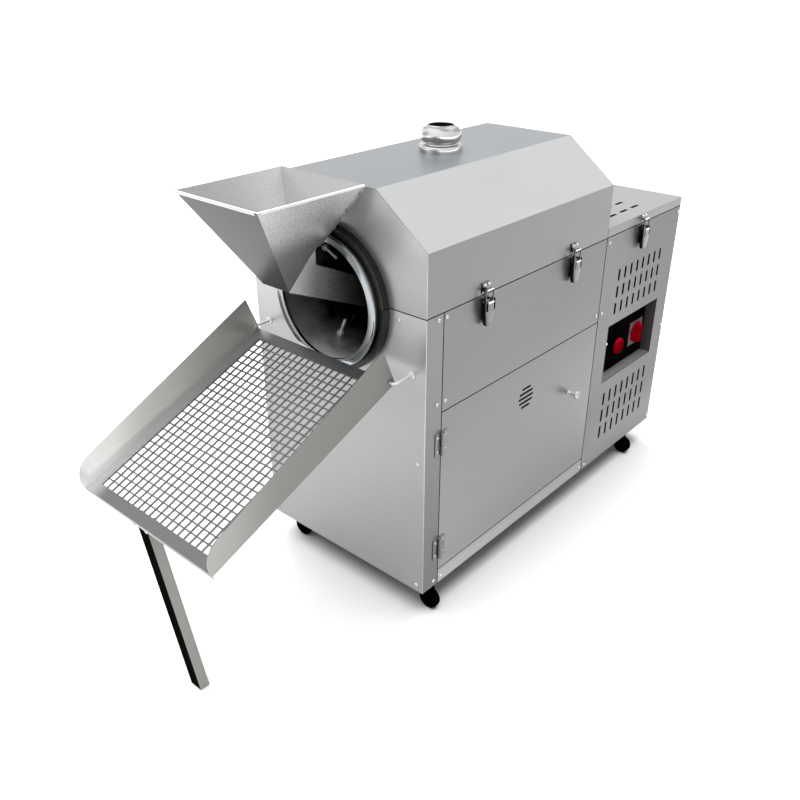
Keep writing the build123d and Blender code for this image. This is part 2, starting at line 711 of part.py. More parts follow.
def roller_spot(side):
    """Axis of a drum roller across and in height."""
    reach = DRUM_RADIUS + GAP + ROLLER_RADIUS
    turn = radians(ROLLER_ANGLE)
    return side * reach * sin(turn), axis_z - reach * cos(turn)


def roller(side):
    """Drum roller with its two journals."""
    x, z = roller_spot(side)
    ends = (ROLLER_Y[0] - GAP - BRACKET_WALL, ROLLER_Y[1] + GAP + BRACKET_WALL)
    wheel = rod((x, ROLLER_Y[0], z), (x, ROLLER_Y[1], z), ROLLER_RADIUS)
    return wheel + rod((x, ends[0], z), (x, ends[1], z), JOURNAL_RADIUS)


def roller_brackets():
    """Cross beam with two upright cheeks for each drum roller."""
    z = roller_spot(1)[1]
    front = ROLLER_Y[0] - GAP
    rear = ROLLER_Y[1] + GAP
    beam_top = z - BEAM_DROP
    beam_y = (front - BRACKET_WALL, rear + BRACKET_WALL)
    brackets = block((-inside, inside), beam_y, (beam_top - BEAM_WALL, beam_top))
    for side in (-1, 1):
        x = roller_spot(side)[0]
        wide = (x - BRACKET_WIDTH / 2, x + BRACKET_WIDTH / 2)
        for near, far in ((front - BRACKET_WALL, front), (rear, rear + BRACKET_WALL)):
            cheek = block(wide, (near, far), (beam_top, z + BRACKET_TOP))
            brackets += cheek - rod((x, near, z), (x, far, z), JOURNAL_RADIUS + RUNNING)
    return brackets


def rear_bearing():
    """Pillow block for the drum shaft on its angle bracket."""
    wide, thick = BEARING_FOOT
    floor = axis_z - BEARING_RISE
    shelf = floor - thick
    span = (-wide / 2, wide / 2)
    housing = rod((0, bearing_y[0], axis_z), (0, bearing_y[1], axis_z), BEARING_RADIUS)
    housing += block((-BEARING_RADIUS, BEARING_RADIUS), bearing_y, (floor, axis_z))
    housing += block(span, bearing_y, (shelf, floor))
    shelf_y = (ROAST_LENGTH - BEARING_SHELF_BACK, ROAST_LENGTH)
    housing += block(span, shelf_y, (shelf - BEARING_SHELF_WALL, shelf))
    back = (ROAST_LENGTH - BEARING_SHELF_WALL, ROAST_LENGTH)
    housing += block(span, back, (shelf - BEARING_SHELF_HEIGHT, shelf))
    return housing - rod((0, bearing_y[0], axis_z), (0, bearing_y[1], axis_z), SHAFT_RADIUS + RUNNING)


def hood_face(inset):
    """Outline of the hood across the cabinet, drawn in by the sheet when asked."""
    face = polygon(((-half, split), (half, split), (half, split + SHOULDER_RISE), (roof_half, roof),
                    (-roof_half, roof), (-half, split + SHOULDER_RISE)))
    return offset(face, -inset) if inset else face


def hood_shell():
    """Folded hood with closed ends, the drum opening, the flue hole and the hopper bracket."""
    shell = across(hood_face(0), 0, hood_rear)
    shell -= across(hood_face(SHEET), SHEET, hood_rear - 2 * SHEET)
    shell -= block((-inside, inside), (SHEET, hood_rear - SHEET), (split, split + SHEET))
    shell -= rod((0, 0, axis_z), (0, SHEET, axis_z), NOTCH_RADIUS)
    shell -= rod((0, chimney_y, roof - SHEET), (0, chimney_y, roof), CHIMNEY_BORE)
    wide = (-BRACKET_HALF, BRACKET_HALF)
    web = split + BRACKET_RISE
    front = HOPPER_Y[1]
    shell += block(wide, (-SHEET, 0), (web - BRACKET_FOOT, web))
    shell += block(wide, (front, 0), (web - SHEET, web))
    return shell + block(wide, (front, front + SHEET), (web - SHEET, split + HOPPER_RIM_RISE))


def chimney():
    """Turned flue outlet with a stepped foot and a bulb, bored straight through."""
    base, base_rise = CHIMNEY_BASE
    neck, neck_rise = CHIMNEY_NECK
    bulb, bulb_rise = CHIMNEY_BULB
    mouth, mouth_rise = CHIMNEY_MOUTH
    outline = Polyline((mouth, mouth_rise), (CHIMNEY_BORE, mouth_rise), (CHIMNEY_BORE, 0), (base, 0),
                       (base, base_rise), (base - CHIMNEY_BASE_ROUND, base_rise + CHIMNEY_BASE_ROUND),
                       (neck, base_rise + CHIMNEY_BASE_ROUND), (neck, neck_rise))
    bulge = ThreePointArc((neck, neck_rise), (bulb, bulb_rise), (mouth, mouth_rise))
    return Pos(0, chimney_y, roof) * revolve(Plane.XZ * make_face(outline + bulge), Axis.Z)


def knuckles(own, start):
    """Spans of hinge knuckles along the pin: outer ones for the fixed leaf, the middle for the other."""
    third = HINGE_LENGTH / 3
    if own:
        return ((start, start + third - GAP / 2), (start + 2 * third + GAP / 2, start + HINGE_LENGTH))
    return ((start + third + GAP / 2, start + 2 * third - GAP / 2),)


def hinge_half(fixed, leaf):
    """One half of a hinge along Z, its leaf lying in X from the pin at the origin, back at +Y."""
    way = -1 if fixed else 1
    back = KNUCKLE_RADIUS
    face = back - HINGE_WALL
    clear = KNUCKLE_RADIUS + GAP
    half_hinge = block((way * clear, way * leaf), (face, back), (0, HINGE_LENGTH))
    for low, high in knuckles(fixed, 0):
        half_hinge += rod((0, 0, low), (0, 0, high), KNUCKLE_RADIUS)
        half_hinge += block((0, way * clear), (face, back), (low, high))
        if not fixed:
            half_hinge -= rod((0, 0, low), (0, 0, high), HINGE_PIN + RUNNING)
    if fixed:
        half_hinge += rod((0, 0, 0), (0, 0, HINGE_LENGTH), HINGE_PIN)
    return half_hinge


def left_hinge(fixed, y):
    """Hinge half on the left side, its pin along the cabinet in the hood's seam."""
    place = Plane((-half - KNUCKLE_RADIUS, y, split - SEAM / 2), x_dir=(0, 0, 1), z_dir=(0, 1, 0))
    return place * hinge_half(fixed, HINGE_LEAF)


def door_hinge(fixed, drop):
    """Hinge half on the right side, its pin upright in front of the door."""
    place = Plane((half + KNUCKLE_RADIUS, RETURN + SEAM / 2, split - drop), x_dir=(0, 1, 0), z_dir=(0, 0, 1))
    return place * hinge_half(fixed, DOOR_HINGE_LEAF)


def fixed_hinges():
    """Leaves and pins that stay with the cabinet."""
    leaves = [left_hinge(True, y) for y in hood_hinges_y + cover_hinges_y]
    return Part() + leaves + [door_hinge(True, drop) for drop in DOOR_HINGES_DROP]


def hood_hinges():
    """Leaves that lift with the hood."""
    return Part() + [left_hinge(False, y) for y in hood_hinges_y]


def door_hinges():
    """Leaves that swing with the side door."""
    return Part() + [door_hinge(False, drop) for drop in DOOR_HINGES_DROP]


def keeper(y):
    """Latch keeper with its upturned hook."""
    wide = (y - KEEPER_HALF, y + KEEPER_HALF)
    narrow = (y - KEEPER_HOOK_HALF, y + KEEPER_HOOK_HALF)
    tip = half + LEVER_PIVOT[0] + BAIL_PIVOT[0] - BAIL_RADIUS - KEEPER_GAP
    low, high = (split + rise for rise in KEEPER_HOOK)
    piece = block((half, half + KEEPER_WALL), wide, (split + KEEPER_SPAN[0], split + KEEPER_SPAN[1]))
    piece += block((half, tip), narrow, (low, low + KEEPER_WALL))
    return piece + block((tip - KEEPER_WALL, tip), narrow, (low, high))


def hood_keepers():
    """Two keepers on the hood's right side."""
    return Part() + [keeper(y) for y in latch_y[:2]]


def control_cover():
    """Slotted lid of the control section with its hinge leaves and keeper."""
    top = split + COVER_RISE
    cover = block((-half, half), (cover_front, CABINET_LENGTH), (split, top))
    cover -= block((-inside, inside), (cover_front + SHEET, CABINET_LENGTH - SHEET), (split, top - SHEET))
    rows = [side * (half - row) for row in COVER_SLOT_ROWS for side in (-1, 1)]
    columns = spread(control(COVER_SLOT_SHARES), COVER_SLOT_COUNT)
    field = slots(rows, columns, COVER_SLOT[0], COVER_SLOT[1], 90)
    cover -= extrude(Plane((0, 0, top - SHEET)) * field, SHEET)
    for y in cover_hinges_y:
        leaf = left_hinge(False, y)
        cover += leaf - block((-CABINET_WIDTH, 0), (0, CABINET_LENGTH), (top, roof))
    shortened = keeper(latch_y[2]) - block((half, CABINET_WIDTH), (0, CABINET_LENGTH), (top, roof))
    return cover + shortened


def side_door():
    """Shallow folded door with a round group of air slots."""
    y_span = (RETURN + SEAM, hood_rear)
    z_span = (sill_top + SEAM, door_top - SEAM)
    inner_y = (y_span[0] + SHEET, y_span[1] - SHEET)
    inner_z = (z_span[0] + SHEET, z_span[1] - SHEET)
    door = block((half - DOOR_FLANGE, half), y_span, z_span)
    door -= block((half - DOOR_FLANGE, inside), inner_y, inner_z)
    middle = (VENT_COUNT - 1) / 2
    z = split - VENT_DROP
    vents = Sketch()
    for index in range(VENT_COUNT):
        shift = (index - middle) * VENT_PITCH
        length = 2 * (VENT_RADIUS ** 2 - shift ** 2) ** 0.5
        vents += Pos(ROAST_LENGTH - VENT_BACK, z + shift) * SlotOverall(length, VENT_SLOT)
    return door - sideways(vents, inside, SHEET)


def door_knob():
    """Round pull knob on the door."""
    z = split - KNOB_DROP
    stem_radius, stem = KNOB_STEM
    head_radius, head = KNOB_HEAD
    base_radius, base = KNOB_BASE
    grip = rod((half + stem, knob_y, z), (half + stem + head, knob_y, z), head_radius)
    grip = fillet(grip.edges().filter_by(GeomType.CIRCLE), KNOB_ROUND)
    grip += rod((half, knob_y, z), (half + stem, knob_y, z), stem_radius)
    return grip + rod((half, knob_y, z), (half + base, knob_y, z), base_radius)


def latch_pivot(y):
    """Lever pivot of the latch at y."""
    return Vector(half + LEVER_PIVOT[0], y, split + LEVER_PIVOT[1])


def latch_bases():
    """Latch plates with two ears each, fixed under the seam."""
    bases = Part()
    for y in latch_y:
        pivot = latch_pivot(y)
        low, high = (split + rise for rise in BASE_SPAN)
        bases += block((half, half + BASE_WALL), (y - BASE_HALF, y + BASE_HALF), (low, high))
        for side in (-1, 1):
            ends = (y + side * (BASE_HALF - BASE_WALL), y + side * BASE_HALF)
            reach = LEVER_PIN + BASE_WALL
            ear = block((half, pivot.X), ends, (pivot.Z - reach, pivot.Z + reach))
            ear += rod((pivot.X, ends[0], pivot.Z), (pivot.X, ends[1], pivot.Z), reach)
            bases += ear - rod((pivot.X, ends[0], pivot.Z), (pivot.X, ends[1], pivot.Z), LEVER_PIN + RUNNING)
    return bases


def latch_lever(y):
    """Tapered handle with two cheeks and its own pivot pin."""
    pivot = latch_pivot(y)
    inner, outer = LEVER_CHEEK
    near, far = (pivot.X + rise for rise in LEVER_FACE)
    top = pivot.Z - LEVER_WEB_TOP
    end = pivot.Z - LEVER_WEB_END
    web = polygon(((y - outer, top), (y + outer, top), (y + LEVER_END_HALF, end + LEVER_END_HALF),
                   (y + LEVER_END_HALF / 2, end), (y - LEVER_END_HALF / 2, end),
                   (y - LEVER_END_HALF, end + LEVER_END_HALF)))
    lever = sideways(web, near, far - near)
    bail = pivot + Vector(BAIL_PIVOT[0], 0, BAIL_PIVOT[1])
    back = pivot.X - LEVER_CHEEK_BACK
    foot = pivot.Z - LEVER_CHEEK_LENGTH
    outline = polygon(((back, foot), (far, foot), (far, pivot.Z - LEVER_CHEEK_BACK),
                       (pivot.X + LEVER_CHEEK_BACK, pivot.Z + LEVER_CHEEK_BACK),
                       (back, pivot.Z + LEVER_CHEEK_BACK)))
    for side in (-1, 1):
        ends = (y + side * inner, y + side * outer)
        cheek = across(outline, min(ends), outer - inner)
        cheek -= rod((bail.X, ends[0], bail.Z), (bail.X, ends[1], bail.Z), BAIL_RADIUS + RUNNING)
        lever += cheek
    return lever + rod((pivot.X, y - outer, pivot.Z), (pivot.X, y + outer, pivot.Z), LEVER_PIN)


def latch_bail(y):
    """Wire bail standing up from the lever to the keeper."""
    pivot = latch_pivot(y)
    x = pivot.X + BAIL_PIVOT[0]
    low = pivot.Z + BAIL_PIVOT[1]
    high = split + BAIL_TOP
    left = (y - LEVER_CHEEK[1], y - BAIL_HALF)
    right = (y + BAIL_HALF, y + LEVER_CHEEK[1])
    return wire(((x, left[0], low), (x, left[1], low), (x, left[1], high),
                 (x, right[0], high), (x, right[0], low), (x, right[1], low)), BAIL_RADIUS, BAIL_BEND)


def hopper_body(inset):
    """Tapering hopper volume from the level rim to the tilted outlet, drawn in by inset."""
    rise = split + HOPPER_RIM_RISE
    x = HOPPER_HALF - inset
    rim = Wire.make_polygon(((-x, HOPPER_Y[0] + inset, rise), (x, HOPPER_Y[0] + inset, rise),
                             (x, HOPPER_Y[1] - inset, rise), (-x, HOPPER_Y[1] - inset, rise)))
    front = Vector(0, OUTLET_FRONT[0], split + OUTLET_FRONT[1])
    rear = Vector(0, OUTLET_REAR[0], split + OUTLET_REAR[1])
    along = (rear - front).normalized() * inset
    side = Vector(OUTLET_HALF - inset, 0, 0)
    front += along
    rear -= along
    outlet = Wire.make_polygon((front - side, front + side, rear + side, rear - side))
    return Part() + Solid.make_loft([rim, outlet], ruled=True)


def hopper():
    """Open sheet hopper with a hemmed rim."""
    rise = split + HOPPER_RIM_RISE
    span = (-HOPPER_HALF, HOPPER_HALF)
    inner_x = (HEM_WALL - HOPPER_HALF, HOPPER_HALF - HEM_WALL)
    inner_y = (HOPPER_Y[0] + HEM_WALL, HOPPER_Y[1] - HEM_WALL)
    tall = (rise - HEM_HEIGHT, rise)
    hem = block(span, HOPPER_Y, tall) - block(inner_x, inner_y, tall)
    return hopper_body(0) + hem - hopper_body(HOPPER_WALL)


def feed_chute():
    """Open-topped channel from the hopper's outlet into the drum."""
    front_y, front_rise = OUTLET_FRONT
    rear_y, rear_rise = OUTLET_REAR
    fall = (CHUTE_REAR - front_y) * tan(radians(CHUTE_SLOPE))
    top_fall = (CHUTE_REAR - rear_y) * tan(radians(CHUTE_TOP_SLOPE))
    outline = [(front_y, split + front_rise), (rear_y, split + rear_rise), (rear_y, split + CHUTE_TOP_RISE),
               (CHUTE_REAR, split + CHUTE_TOP_RISE - top_fall), (CHUTE_REAR, split + front_rise - fall)]
    wall = HOPPER_WALL / cos(radians(CHUTE_SLOPE))
    hollow = [(front_y, split + front_rise + wall), (front_y, roof), (CHUTE_REAR, roof),
              (CHUTE_REAR, split + front_rise - fall + wall)]
    chute = sideways(polygon(outline), -OUTLET_HALF, 2 * OUTLET_HALF)
    return chute - sideways(polygon(hollow), HOPPER_WALL - OUTLET_HALF, 2 * (OUTLET_HALF - HOPPER_WALL))


def tray_pan():
    """Sloping tray with side walls, a turned-down lip, the sieve opening and the leg's ears."""
    x = (-tray_half, tray_half)
    y = (-TRAY_LENGTH, 0)
    pan = block(x, y, (-TRAY_SHEET, 0))
    pan += block(x, (-TRAY_LENGTH, TRAY_SHEET - TRAY_LENGTH), (-TRAY_LIP, 0))
    opening = tray_half - TRAY_BORDER
    pan -= block((-opening, opening), (TRAY_BORDER - TRAY_LENGTH, -TRAY_BORDER), (-TRAY_SHEET, 0))
    for side in (-1, 1):
        faces = (side * (tray_half - TRAY_SHEET), side * tray_half)
        rear, front = TRAY_WALLS
        face = polygon(((y[0], -TRAY_SHEET), (y[1], -TRAY_SHEET), (y[1], rear), (y[0], front)))
        face = fillet(face.vertices().group_by(Axis.Y)[-2], TRAY_CORNER)
        wall = sideways(face, min(faces), TRAY_SHEET)
        spot = (-HOOK_SPOT[0], HOOK_SPOT[1])
        pan += wall - rod((faces[0], *spot), (faces[1], *spot), HOOK_RADIUS + RUNNING)
        near = LEG_WIDTH / 2 + EAR_CLEAR
        ends = (LEG_X + side * near, LEG_X + side * (near + EAR_WALL))
        pin = (-leg_station, -LEG_DROP)
        ear = block(ends, (-TRAY_LENGTH, pin[0]), (-EAR_DROP, -TRAY_SHEET - MESH_WIRE - GAP))
        ear += block(ends, (-TRAY_LENGTH, TRAY_BORDER - MESH_LAP - GAP - TRAY_LENGTH), (-EAR_DROP, 0))
        ear += rod((ends[0], *pin), (ends[1], *pin), EAR_RADIUS)
        pan += ear - rod((ends[0], *pin), (ends[1], *pin), LEG_PIN_RADIUS + RUNNING)
    return tray_place * pan


def sieve_mesh():
    """Square mesh under the tray's opening, cut as one holed face."""
    wide = 2 * (tray_half - TRAY_BORDER)
    long = TRAY_LENGTH - 2 * TRAY_BORDER
    middle = -TRAY_LENGTH / 2
    cell = (wide / MESH_COLUMNS, long / MESH_ROWS)
    cells = Sketch() + GridLocations(cell[0], cell[1], MESH_COLUMNS, MESH_ROWS) * Rectangle(
        cell[0] - MESH_WIRE, cell[1] - MESH_WIRE)
    net = Rectangle(wide + 2 * MESH_LAP, long + 2 * MESH_LAP) - cells
    return tray_place * extrude(Plane((0, middle, -TRAY_SHEET - MESH_WIRE)) * net, MESH_WIRE)


def tray_point(x, back, rise):
    """A place on the tray, given from its rear edge and above its base."""
    slope = radians(TRAY_SLOPE)
    y = TRAY_REAR_Y - back * cos(slope) - rise * sin(slope)
    z = split - TRAY_DROP - back * sin(slope) + rise * cos(slope)
    return Vector(x, y, z)


def tray_hooks():
    """Two angled pins that hang the tray on the front panel."""
    wide, tall, thick = HOOK_PLATE
    hooks = Part()
    for side in (-1, 1):
        pin = tray_point(side * (tray_half - HOOK_INSIDE), *HOOK_SPOT)
        x = side * (tray_half + HOOK_OUT)
        hooks += block((x - wide / 2, x + wide / 2), (-thick, 0), (pin.Z - tall / 2, pin.Z + tall / 2))
        hooks += wire(((x, 0, pin.Z), (x, pin.Y, pin.Z), (pin.X, pin.Y, pin.Z)), HOOK_RADIUS, HOOK_BEND)
    return hooks


def leg():
    """Splayed angle leg with its pivot pin, its foot cut level with the floor."""
    pin = tray_point(LEG_X, leg_station, -LEG_DROP)
    lean = degrees(atan2(LEG_FOOT[1] - pin.Y, pin.Z))
    length = hypot(LEG_FOOT[1] - pin.Y, pin.Z)
    splay = degrees(atan2(pin.X - LEG_FOOT[0], length))
    tall = (-length - LEG_WIDTH, LEG_TOP)
    front = LEG_BACK - LEG_DEPTH
    angle = block((-LEG_WIDTH / 2, LEG_WIDTH / 2), (front, front + LEG_WALL), tall)
    angle += block((LEG_WIDTH / 2 - LEG_WALL, LEG_WIDTH / 2), (front, LEG_BACK), tall)
    reach = LEG_WIDTH / 2 + EAR_CLEAR + EAR_WALL + LEG_WALL
    leaning = Rot(Y=splay) * angle + rod((-reach, 0, 0), (reach, 0, 0), LEG_PIN_RADIUS)
    placed = Pos(*pin) * Rot(X=lean) * leaning
    below = (-CABINET_WIDTH, CABINET_WIDTH)
    placed -= block(below, (-CABINET_LENGTH, CABINET_LENGTH), (-CABINET_WIDTH, 0))
    ceiling = -TRAY_SHEET - MESH_WIRE - LEG_CLEAR
    return placed - tray_place * block(below, (-CABINET_LENGTH, 0), (ceiling, CABINET_WIDTH))


def castor_fork(side, y):
    """Swivel fork with its stem, stem nut and axle, trailing towards +X."""
    x = side * castor_x
    inner = WHEEL_WIDTH / 2 + FORK_PLAY
    outer = inner + FORK_WALL
    axle = x + CASTOR_TRAIL
    low, high = FORK_CROWN
    fork = block((x - FORK_FRONT, axle), (y - outer, y + outer), (low, high))
    cheek = polygon(((x - FORK_FRONT, high), (axle, high), (axle + FORK_TAIL, WHEEL_RADIUS + FORK_TAIL),
                     (axle + FORK_TAIL, WHEEL_RADIUS), (axle, WHEEL_RADIUS - FORK_TAIL),
                     (axle - FORK_TAIL, WHEEL_RADIUS), (x - FORK_FRONT, low)))
    for way in (-1, 1):
        ends = sorted((y + way * inner, y + way * outer))
        fork += across(cheek, ends[0], FORK_WALL)
    fork += rod((x, y, high), (x, y, FLOOR_CLEAR - GAP), SWIVEL_RADIUS)
    fork += rod((x, y, high), (x, y, STEM_TOP), STEM_RADIUS)
    nut_base = FLOOR_CLEAR + ANGLE_WALL + GAP
    fork += rod((x, y, nut_base), (x, y, nut_base + STEM_NUT[1]), STEM_NUT[0])
    return fork + rod((axle, y - outer, WHEEL_RADIUS), (axle, y + outer, WHEEL_RADIUS), AXLE_RADIUS)


def castor_wheel(side, y):
    """Rounded wheel with dished sides, running on the fork's axle."""
    x = side * castor_x + CASTOR_TRAIL
    low = y - WHEEL_WIDTH / 2
    high = y + WHEEL_WIDTH / 2
    wheel = rod((x, low, WHEEL_RADIUS), (x, high, WHEEL_RADIUS), WHEEL_RADIUS)
    wheel = fillet(wheel.edges().filter_by(GeomType.CIRCLE), WHEEL_ROUND)
    radius, dish = WHEEL_DISH
    for start, end in ((low, low + dish), (high - dish, high)):
        hollow = rod((x, start, WHEEL_RADIUS), (x, end, WHEEL_RADIUS), radius)
        wheel -= hollow - rod((x, start, WHEEL_RADIUS), (x, end, WHEEL_RADIUS), radius / 2)
    return wheel - rod((x, low, WHEEL_RADIUS), (x, high, WHEEL_RADIUS), AXLE_RADIUS + RUNNING)


def cable_gland():
    """Gland for the supply cable in the left panel."""
    y = gland_y
    z = FLOOR_CLEAR + GLAND_SPOT[1]
    nut_radius, nut = GLAND_NUT
    neck_radius, neck = GLAND_NECK
    shank_radius, shank = GLAND_SHANK
    seat = Plane((-half, y, z), x_dir=(0, 1, 0), z_dir=(-1, 0, 0))
    gland = extrude(seat * RegularPolygon(nut_radius, 6), nut)
    gland += rod((-half - neck, y, z), (-half, y, z), neck_radius)
    gland += rod((-half, y, z), (-half + shank, y, z), shank_radius)
    return gland - rod((-half - neck, y, z), (-half + shank, y, z), GLAND_BORE)


def panel_screws():
    """Domed screw heads on both sides and the front."""
    sides = list(FRONT_END_SCREWS)
    sides += [(ROAST_LENGTH + back, drop) for back, drop in BULKHEAD_SCREWS]
    sides += [(CABINET_LENGTH - back, drop) for back, drop in REAR_END_SCREWS]
    places = []
    for way in (-1, 1):
        places += [Plane((way * half, y, split - drop), z_dir=(way, 0, 0)) for y, drop in sides]
        places += [Plane((way * (half - inset), 0, split - drop), z_dir=(0, -1, 0))
                   for inset, drop in FACE_SCREWS]
    return Part() + [Solid.make_cone(SCREW_RADIUS, SCREW_TIP, SCREW_RISE, place) for place in places]


nodes = {
    "base_frame": base_frame(), "front_panel": front_panel(), "left_panel": left_panel(),
    "rear_panel": rear_panel(), "upper_side_panel": upper_side_panel(),
    "control_side_panel": control_side_panel(), "bulkhead": bulkhead(), "furnace_floor": furnace_floor(),
    "burner": burner(), "lower_collar": lower_collar(), "control_plate": control_plate(),
    "control_fittings": control_fittings(), "latch_bases": latch_bases(), "fixed_hinges": fixed_hinges(),
    "rear_bearing": rear_bearing(), "roller_brackets": roller_brackets(), "gearmotor": gearmotor(),
    "drive_chain": drive_chain(), "cable_gland": cable_gland(), "tray_hooks": tray_hooks(),
    "panel_screws": panel_screws(),
    "drum_shell": drum_shell(), "drum_rim": drum_rim(), "drum_vanes": drum_vanes(),
    "drum_studs": drum_studs(), "drum_shaft": drum_shaft(), "drum_sprocket": drum_sprocket(),
    "motor_sprocket": motor_sprocket(),
    "left_roller": roller(-1), "right_roller": roller(1),
    "hood_shell": hood_shell(), "chimney": chimney(), "upper_collar": upper_collar(),
    "hood_hinges": hood_hinges(), "hood_keepers": hood_keepers(), "control_cover": control_cover(),
    "side_door": side_door(), "door_hinges": door_hinges(), "door_knob": door_knob(),
    "front_latch_lever": latch_lever(latch_y[0]), "front_latch_bail": latch_bail(latch_y[0]),
    "middle_latch_lever": latch_lever(latch_y[1]), "middle_latch_bail": latch_bail(latch_y[1]),
    "rear_latch_lever": latch_lever(latch_y[2]), "rear_latch_bail": latch_bail(latch_y[2]),
    "hopper": hopper(), "feed_chute": feed_chute(), "tray_pan": tray_pan(), "sieve_mesh": sieve_mesh(),
    "leg": leg(), "stop_button": stop_button(), "rotary_switch": rotary_switch(),
    "front_left_fork": castor_fork(-1, castor_y[0]), "front_left_wheel": castor_wheel(-1, castor_y[0]),
    "front_right_fork": castor_fork(1, castor_y[0]), "front_right_wheel": castor_wheel(1, castor_y[0]),
    "rear_left_fork": castor_fork(-1, castor_y[1]), "rear_left_wheel": castor_wheel(-1, castor_y[1]),
    "rear_right_fork": castor_fork(1, castor_y[1]), "rear_right_wheel": castor_wheel(1, castor_y[1]),
}

# The whole is moved so that its box stands on zero, centred in both level directions.
corners = [shape.bounding_box() for shape in nodes.values()]
middle_x = (min(box.min.X for box in corners) + max(box.max.X for box in corners)) / 2
middle_y = (min(box.min.Y for box in corners) + max(box.max.Y for box in corners)) / 2
shift = Pos(-middle_x, -middle_y, 0)

os.makedirs("parts", exist_ok=True)
for name, shape in nodes.items():
    export_step(shift * shape, f"parts/{name}.step")
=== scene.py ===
"""Drum roaster for nuts and grain: finishes, turned and folded details, light and camera."""

import logging
import math
from dataclasses import dataclass, field
from enum import Enum
from typing import Iterable, Sequence

import bmesh
import bpy
from mathutils import Matrix, Vector


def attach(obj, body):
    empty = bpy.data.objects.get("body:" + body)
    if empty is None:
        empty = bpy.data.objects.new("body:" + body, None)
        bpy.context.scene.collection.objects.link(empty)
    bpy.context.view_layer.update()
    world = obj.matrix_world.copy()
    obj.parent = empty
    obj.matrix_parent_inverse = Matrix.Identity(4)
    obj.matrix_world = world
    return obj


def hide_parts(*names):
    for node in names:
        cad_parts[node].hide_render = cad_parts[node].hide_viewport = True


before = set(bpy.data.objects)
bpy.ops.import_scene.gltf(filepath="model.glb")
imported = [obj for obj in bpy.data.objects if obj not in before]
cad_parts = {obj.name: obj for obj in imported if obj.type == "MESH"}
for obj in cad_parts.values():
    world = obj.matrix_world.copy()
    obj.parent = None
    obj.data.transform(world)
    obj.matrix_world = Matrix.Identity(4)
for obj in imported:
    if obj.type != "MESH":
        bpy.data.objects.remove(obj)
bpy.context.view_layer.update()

log = logging.getLogger("roaster")

Point = tuple[float, float, float]
Colour = tuple[float, float, float]
Pair = tuple[float, float]
Profile = tuple[Pair, ...]

HEXAGON = 6


class Brush(Enum):
    """Noise frequencies per metre along X, Y and Z, low along the brushing."""

    ALONG = (700.0, 5.0, 700.0)
    UPRIGHT = (700.0, 700.0, 5.0)
    ACROSS = (5.0, 700.0, 700.0)
    SPUN = (420.0, 420.0, 420.0)


class Axis(Enum):
    """Directions in which a turned piece stands."""

    RIGHT = (1.0, 0.0, 0.0)
    LEFT = (-1.0, 0.0, 0.0)
    FRONT = (0.0, -1.0, 0.0)
    REAR = (0.0, 1.0, 0.0)
    UP = (0.0, 0.0, 1.0)

    def vector(self) -> Vector:
        """The direction as a vector."""
        return Vector(self.value)


@dataclass(frozen=True)
class Cabinet:
    """Leading sizes of the cabinet in millimetres, and where its zero lies in the scene."""

    half: float = 250.0
    length: float = 1085.0
    bottom: float = 70.0
    split: float = 738.0
    shoulder: float = 867.0
    roof: float = 965.0
    roof_half: float = 122.5
    axis: float = 722.0
    origin: Point = (0.001, -0.2856206, 0.0)

    def placing(self) -> Matrix:
        """Turns cabinet millimetres into scene metres."""
        return Matrix.Translation(self.origin) @ Matrix.Scale(0.001, 4)

    def drum_line(self) -> Point:
        """A point on the drum's axis, in scene metres."""
        return (self.origin[0], 0.0, self.axis / 1000)


CABINET = Cabinet()


